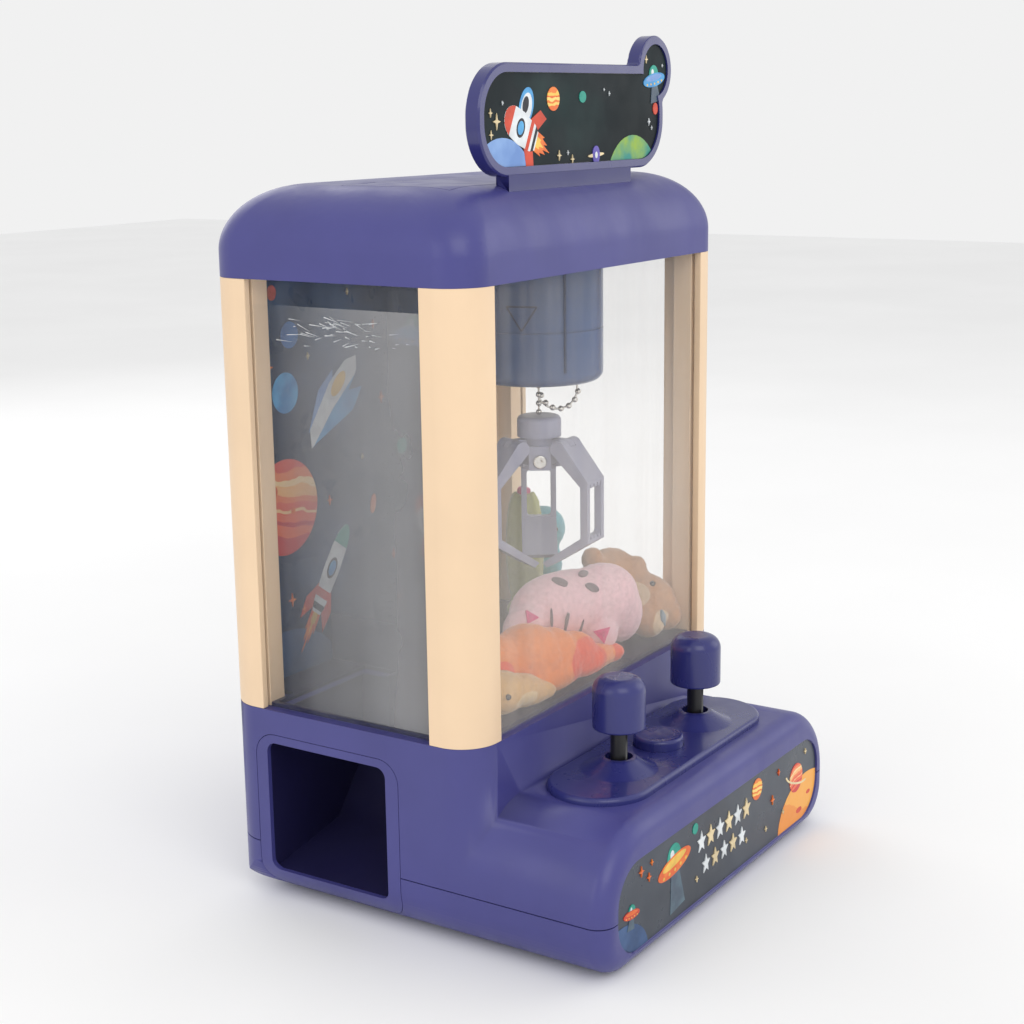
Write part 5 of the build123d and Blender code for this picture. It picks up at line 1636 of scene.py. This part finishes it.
def plush_toys() -> list[Plush]:
    """List the six soft prizes.

    Returns:
        The toys, ready to build.
    """
    cat = Plush(
        "prize_cat",
        Slot.PINK,
        PlushPile("plush_pink_pile", (0.86, 0.56, 0.60), (0.62, 0.27, 0.34)),
        [
            Lobe((20.0, -9.5, 126.0), (40.0, 15.0, 17.6), -16.6, 8.0),
            Lobe((4.0, -6.0, 127.0), (26.0, 15.0, 17.8), -16.6),
            Lobe((34.0, -14.0, 125.0), (24.0, 15.0, 19.0), -16.6),
            Lobe((-21.0, -4.0, 124.0), (9.0, 9.0, 12.0), -16.6, 50.0),
            Lobe((24.0, -20.0, 111.0), (10.0, 9.0, 10.0), -16.6, -25.0),
            Lobe((46.0, -20.0, 116.0), (12.0, 10.0, 15.0), -16.6, 10.0),
        ],
        buttons=[
            Button((-6.0, -16.0, 143.0), TO_BACK, (2.3, 4.2, 0.7), FELT_GREY, 55.0),
            Button((10.0, -20.0, 143.5), TO_BACK, (4.0, 2.0, 0.7), FELT_GREY, 0.0),
            Button((14.0, -22.0, 137.0), TO_BACK, (2.1, 4.0, 0.7), FELT_GREY, 60.0),
            Button((-12.6, -15.0, 127.7), TO_BACK, (0.7, 4.6, 0.6), FELT_GREY, 0.0),
            Button((-3.8, -17.6, 122.5), TO_BACK, (0.8, 7.0, 0.6), FELT_GREY, 0.0),
            Button((5.5, -20.4, 118.0), TO_BACK, (0.8, 5.6, 0.6), FELT_GREY, 0.0),
            Button((-25.0, -11.0, 130.0), TO_BACK, (4.2, 4.2, 0.7), FELT_MAGENTA, 20.0, 3),
            Button((20.0, -24.0, 113.0), TO_BACK, (4.8, 5.2, 0.7), FELT_MAGENTA, -50.0, 3),
        ],
    )
    fish = Plush(
        "prize_fish",
        Slot.ORANGE,
        PlushPile("plush_orange_pile", (0.97, 0.27, 0.035), (0.90, 0.09, 0.008)),
        [
            Lobe((-50.0, -8.0, 112.0), (20.0, 13.0, 14.8), 0.0, 4.0),
            Lobe((-33.0, -14.0, 113.4), (18.0, 17.0, 16.0), 0.0, 8.0),
            Lobe((-20.0, -19.0, 111.0), (16.0, 13.0, 14.0), 0.0, 10.0),
            Lobe((-4.0, -21.5, 108.4), (16.0, 11.0, 11.2), 0.0, 12.0),
            Lobe((12.0, -24.5, 103.4), (14.0, 8.2, 6.2), 0.0, 8.0),
            Lobe((24.0, -26.0, 102.0), (9.0, 6.6, 4.8), -10.0),
            Lobe((-24.0, -25.4, 105.0), (22.0, 8.0, 8.0)),
            Lobe((2.0, -26.6, 103.4), (19.0, 7.0, 6.4)),
        ],
        patches=[
            Lobe((-6.0, -30.0, 107.0), (17.0, 12.0, 11.0)),
            Lobe((-60.0, -16.0, 113.0), (5.5, 9.0, 6.0), 20.0),
            Lobe((25.0, -27.0, 101.0), (6.0, 8.0, 6.0)),
        ],
        buttons=[Button((-62.0, -14.0, 110.0), TO_BACK, (1.6, 1.6, 0.9), BEAD_BLACK)],
        voxel=1.4 * MM,
        swell=1.0 * MM,
    )
    bun = Plush(
        "prize_bun",
        Slot.TAN,
        PlushPile("plush_tan_pile", (0.76, 0.46, 0.18), (0.82, 0.60, 0.32)),
        [
            Lobe((-69.0, -22.6, 107.4), (15.0, 10.4, 10.2), 0.0, 8.0),
            Lobe((-56.0, -24.0, 105.0), (17.0, 9.4, 8.0), 0.0, 10.0),
            Lobe((-43.0, -25.0, 102.0), (13.0, 8.4, 5.4), 0.0, 10.0),
            Lobe((-75.0, -22.0, 115.0), (4.6, 4.4, 3.6)),
            Lobe((-48.0, -26.6, 102.4), (15.0, 7.0, 5.4)),
        ],
        patches=[Lobe((-62.0, -30.0, 104.0), (9.0, 7.0, 3.4), 0.0, 0.0)],
        buttons=[Button((-76.0, -30.0, 109.0), (0.3, 1.0, 0.0), (1.3, 1.3, 0.8), BEAD_BLACK)],
        voxel=1.3 * MM,
        swell=0.8 * MM,
    )
    bear = Plush(
        "prize_bear",
        Slot.BROWN,
        PlushPile("plush_brown_pile", (0.58, 0.31, 0.16), (0.74, 0.54, 0.34)),
        [
            Lobe((76.0, 4.0, 125.0), (18.0, 14.0, 15.6)),
            Lobe((82.0, -11.0, 113.0), (16.0, 20.0, 15.0)),
            Lobe((93.0, 0.5, 109.5), (13.0, 14.0, 12.0)),
            Lobe((60.0, 5.0, 138.0), (7.2, 6.0, 6.6), 20.0),
            Lobe((84.0, -8.0, 129.5), (7.0, 5.4, 7.0), 20.0),
            Lobe((70.0, -22.0, 106.0), (9.0, 9.5, 8.6)),
            Lobe((87.0, -24.0, 106.0), (8.0, 8.5, 8.6)),
        ],
        patches=[Lobe((70.0, -14.0, 119.0), (8.0, 9.0, 7.0)), Lobe((72.0, -28.0, 106.0), (8.0, 6.0, 6.5))],
        buttons=[
            Button((70.0, -8.0, 128.0), TO_BACK, (1.5, 1.5, 0.9), BEAD_BLACK),
            Button((82.0, -14.0, 124.0), (0.58, 0.80, -0.05), (1.5, 1.5, 0.9), BEAD_BLACK),
            Button((84.0, -22.0, 107.0), TO_BACK, (3.2, 4.6, 0.6), FELT_BLUE, 10.0, 4),
        ],
    )
    octopus = Plush(
        "prize_octopus",
        Slot.BLUE,
        PlushPile("plush_blue_pile", (0.14, 0.44, 0.52), (0.24, 0.54, 0.60)),
        [
            Lobe((95.0, 57.0, 141.5), (12.4, 12.4, 12.4)),
            Lobe((95.0, 57.0, 122.0), (10.5, 10.5, 15.0)),
            Lobe((95.0, 57.0, 106.0), (12.3, 12.3, 8.0)),
            *[
                Lobe((95.0 + 8.5 * math.cos(a), 57.0 + 8.5 * math.sin(a), 102.0), (4.0, 4.0, 4.2))
                for a in [math.pi * i / 4 for i in range(8)]
            ],
        ],
        patches=[Lobe((95.0, 57.0, 100.0), (14.0, 14.0, 5.0))],
        buttons=[
            Button((84.0, 52.0, 143.0), (0.74, 0.58, -0.03), (1.4, 1.4, 0.9), BEAD_BLACK),
            Button((90.0, 46.0, 143.0), (0.62, 0.74, -0.03), (1.4, 1.4, 0.9), BEAD_BLACK),
        ],
    )
    cactus = Plush(
        "prize_cactus",
        Slot.GREEN,
        PlushPile("plush_green_pile", (0.42, 0.45, 0.14), (0.26, 0.34, 0.08)),
        [
            *[
                Lobe((68.0 + 5.4 * math.cos(a), 52.0 + 5.4 * math.sin(a), 136.0), (5.2, 5.2, 32.0))
                for a in [2 * math.pi * i / 7 for i in range(7)]
            ],
            Lobe((68.0, 52.0, 135.0), (8.0, 8.0, 33.6)),
            Lobe((68.0, 52.0, 103.0), (10.4, 10.4, 5.4)),
        ],
        patches=[Lobe((68.0, 52.0, 101.0), (12.0, 12.0, 4.6))],
        buttons=[
            Button((60.0, 47.0, 150.0), (0.84, 0.54, 0.0), (1.3, 1.3, 0.8), BEAD_BLACK),
            Button((64.0, 43.0, 150.0), (0.54, 0.84, 0.0), (1.3, 1.3, 0.8), BEAD_BLACK),
            Button((68.0, 52.0, 169.0), (0.0, 0.0, -1.0), (3.6, 3.6, 1.6), FELT_MAGENTA, 0.0, 7),
        ],
    )
    return [cat, fish, bun, bear, octopus, cactus]


# ---------------------------------------------------------------- light, floor and camera


@dataclass
class Studio:
    """Pale floor, white surround, soft area lights and the camera."""

    eye: Triple = (-0.71260, -0.45126, 0.36712)
    right: Triple = (0.54834, -0.83613, -0.01426)
    up: Triple = (0.19478, 0.11111, 0.97453)
    forward: Triple = (0.81325, 0.53716, -0.22378)
    lens: float = 62.64
    shift: Point = (0.0070, 0.0046)
    world_strength: float = 0.88

    def build(self) -> None:
        """Make the floor, the lights and the camera."""
        self.floor()
        self.surround()
        self.lamp("key_lamp", (-0.9, -1.1, 1.2), 1.1, 6.5)
        self.lamp("left_lamp", (-1.5, 0.3, 0.7), 0.8, 2.0)
        self.lamp("right_lamp", (1.1, -0.9, 0.7), 0.9, 2.6)
        self.lamp("back_lamp", (0.6, 1.3, 0.9), 1.0, 3.2)
        self.camera()

    def floor(self) -> None:
        """Make a wide pale floor."""
        bpy.ops.object.select_all(action="DESELECT")
        bpy.ops.mesh.primitive_plane_add(size=8.0)
        floor = active("studio_floor")
        graph = Graph("studio_floor_white")
        white = [(0.3, (0.90, 0.90, 0.90)), (0.7, (0.93, 0.93, 0.93))]
        graph.drive("Base Color", graph.ramp(graph.noise(3.0), white))
        graph.fix(Roughness=0.9, Specular_IOR_Level=0.1)
        dress(floor, graph.material)

    def surround(self) -> None:
        """Light the scene from an even white surround."""
        world = bpy.data.worlds.new("studio_surround")
        world.use_nodes = True
        background = world.node_tree.nodes["Background"]
        background.inputs["Color"].default_value = (1.0, 1.0, 1.0, 1.0)
        background.inputs["Strength"].default_value = self.world_strength
        bpy.context.scene.world = world
        bpy.context.scene.view_settings.view_transform = "Standard"

    def lamp(self, name: str, place: Triple, size: float, power: float) -> None:
        """Make one square area light that faces the machine.

        Args:
            name: Name of the light.
            place: Where it stands.
            size: Length of its side.
            power: Its power in watts.
        """
        data = bpy.data.lights.new(name, "AREA")
        data.size = size
        data.energy = power
        lamp = bpy.data.objects.new(name, data)
        bpy.context.scene.collection.objects.link(lamp)
        lamp.location = place
        aim = Vector((0.0, 0.0, 0.2)) - Vector(place)
        lamp.rotation_euler = aim.to_track_quat("-Z", "Y").to_euler()

    def camera(self) -> None:
        """Make the camera and set it as the scene's own."""
        data = bpy.data.cameras.new("studio_camera")
        data.lens = self.lens
        data.sensor_width = 36.0
        data.shift_x, data.shift_y = self.shift
        data.clip_start = 0.01
        camera = bpy.data.objects.new("studio_camera", data)
        bpy.context.scene.collection.objects.link(camera)
        axes = Matrix((self.right, self.up, tuple(-value for value in self.forward))).transposed()
        camera.matrix_world = Matrix.Translation(self.eye) @ axes.to_4x4()
        bpy.context.scene.camera = camera


def main() -> None:
    """Build every piece in order."""
    logging.basicConfig(level=logging.INFO, format="%(name)s: %(message)s")
    Casing().build()
    for number, heading in enumerate(CLAW_HEADINGS, start=1):
        ClawFinger(number, heading).build()
    backdrop()
    topper_scene()
    sign_scene()
    WindowFilm().build()
    HousingMark().build()
    for toy in plush_toys():
        toy.build()
    Studio().build()


if __name__ == "__main__":
    main()
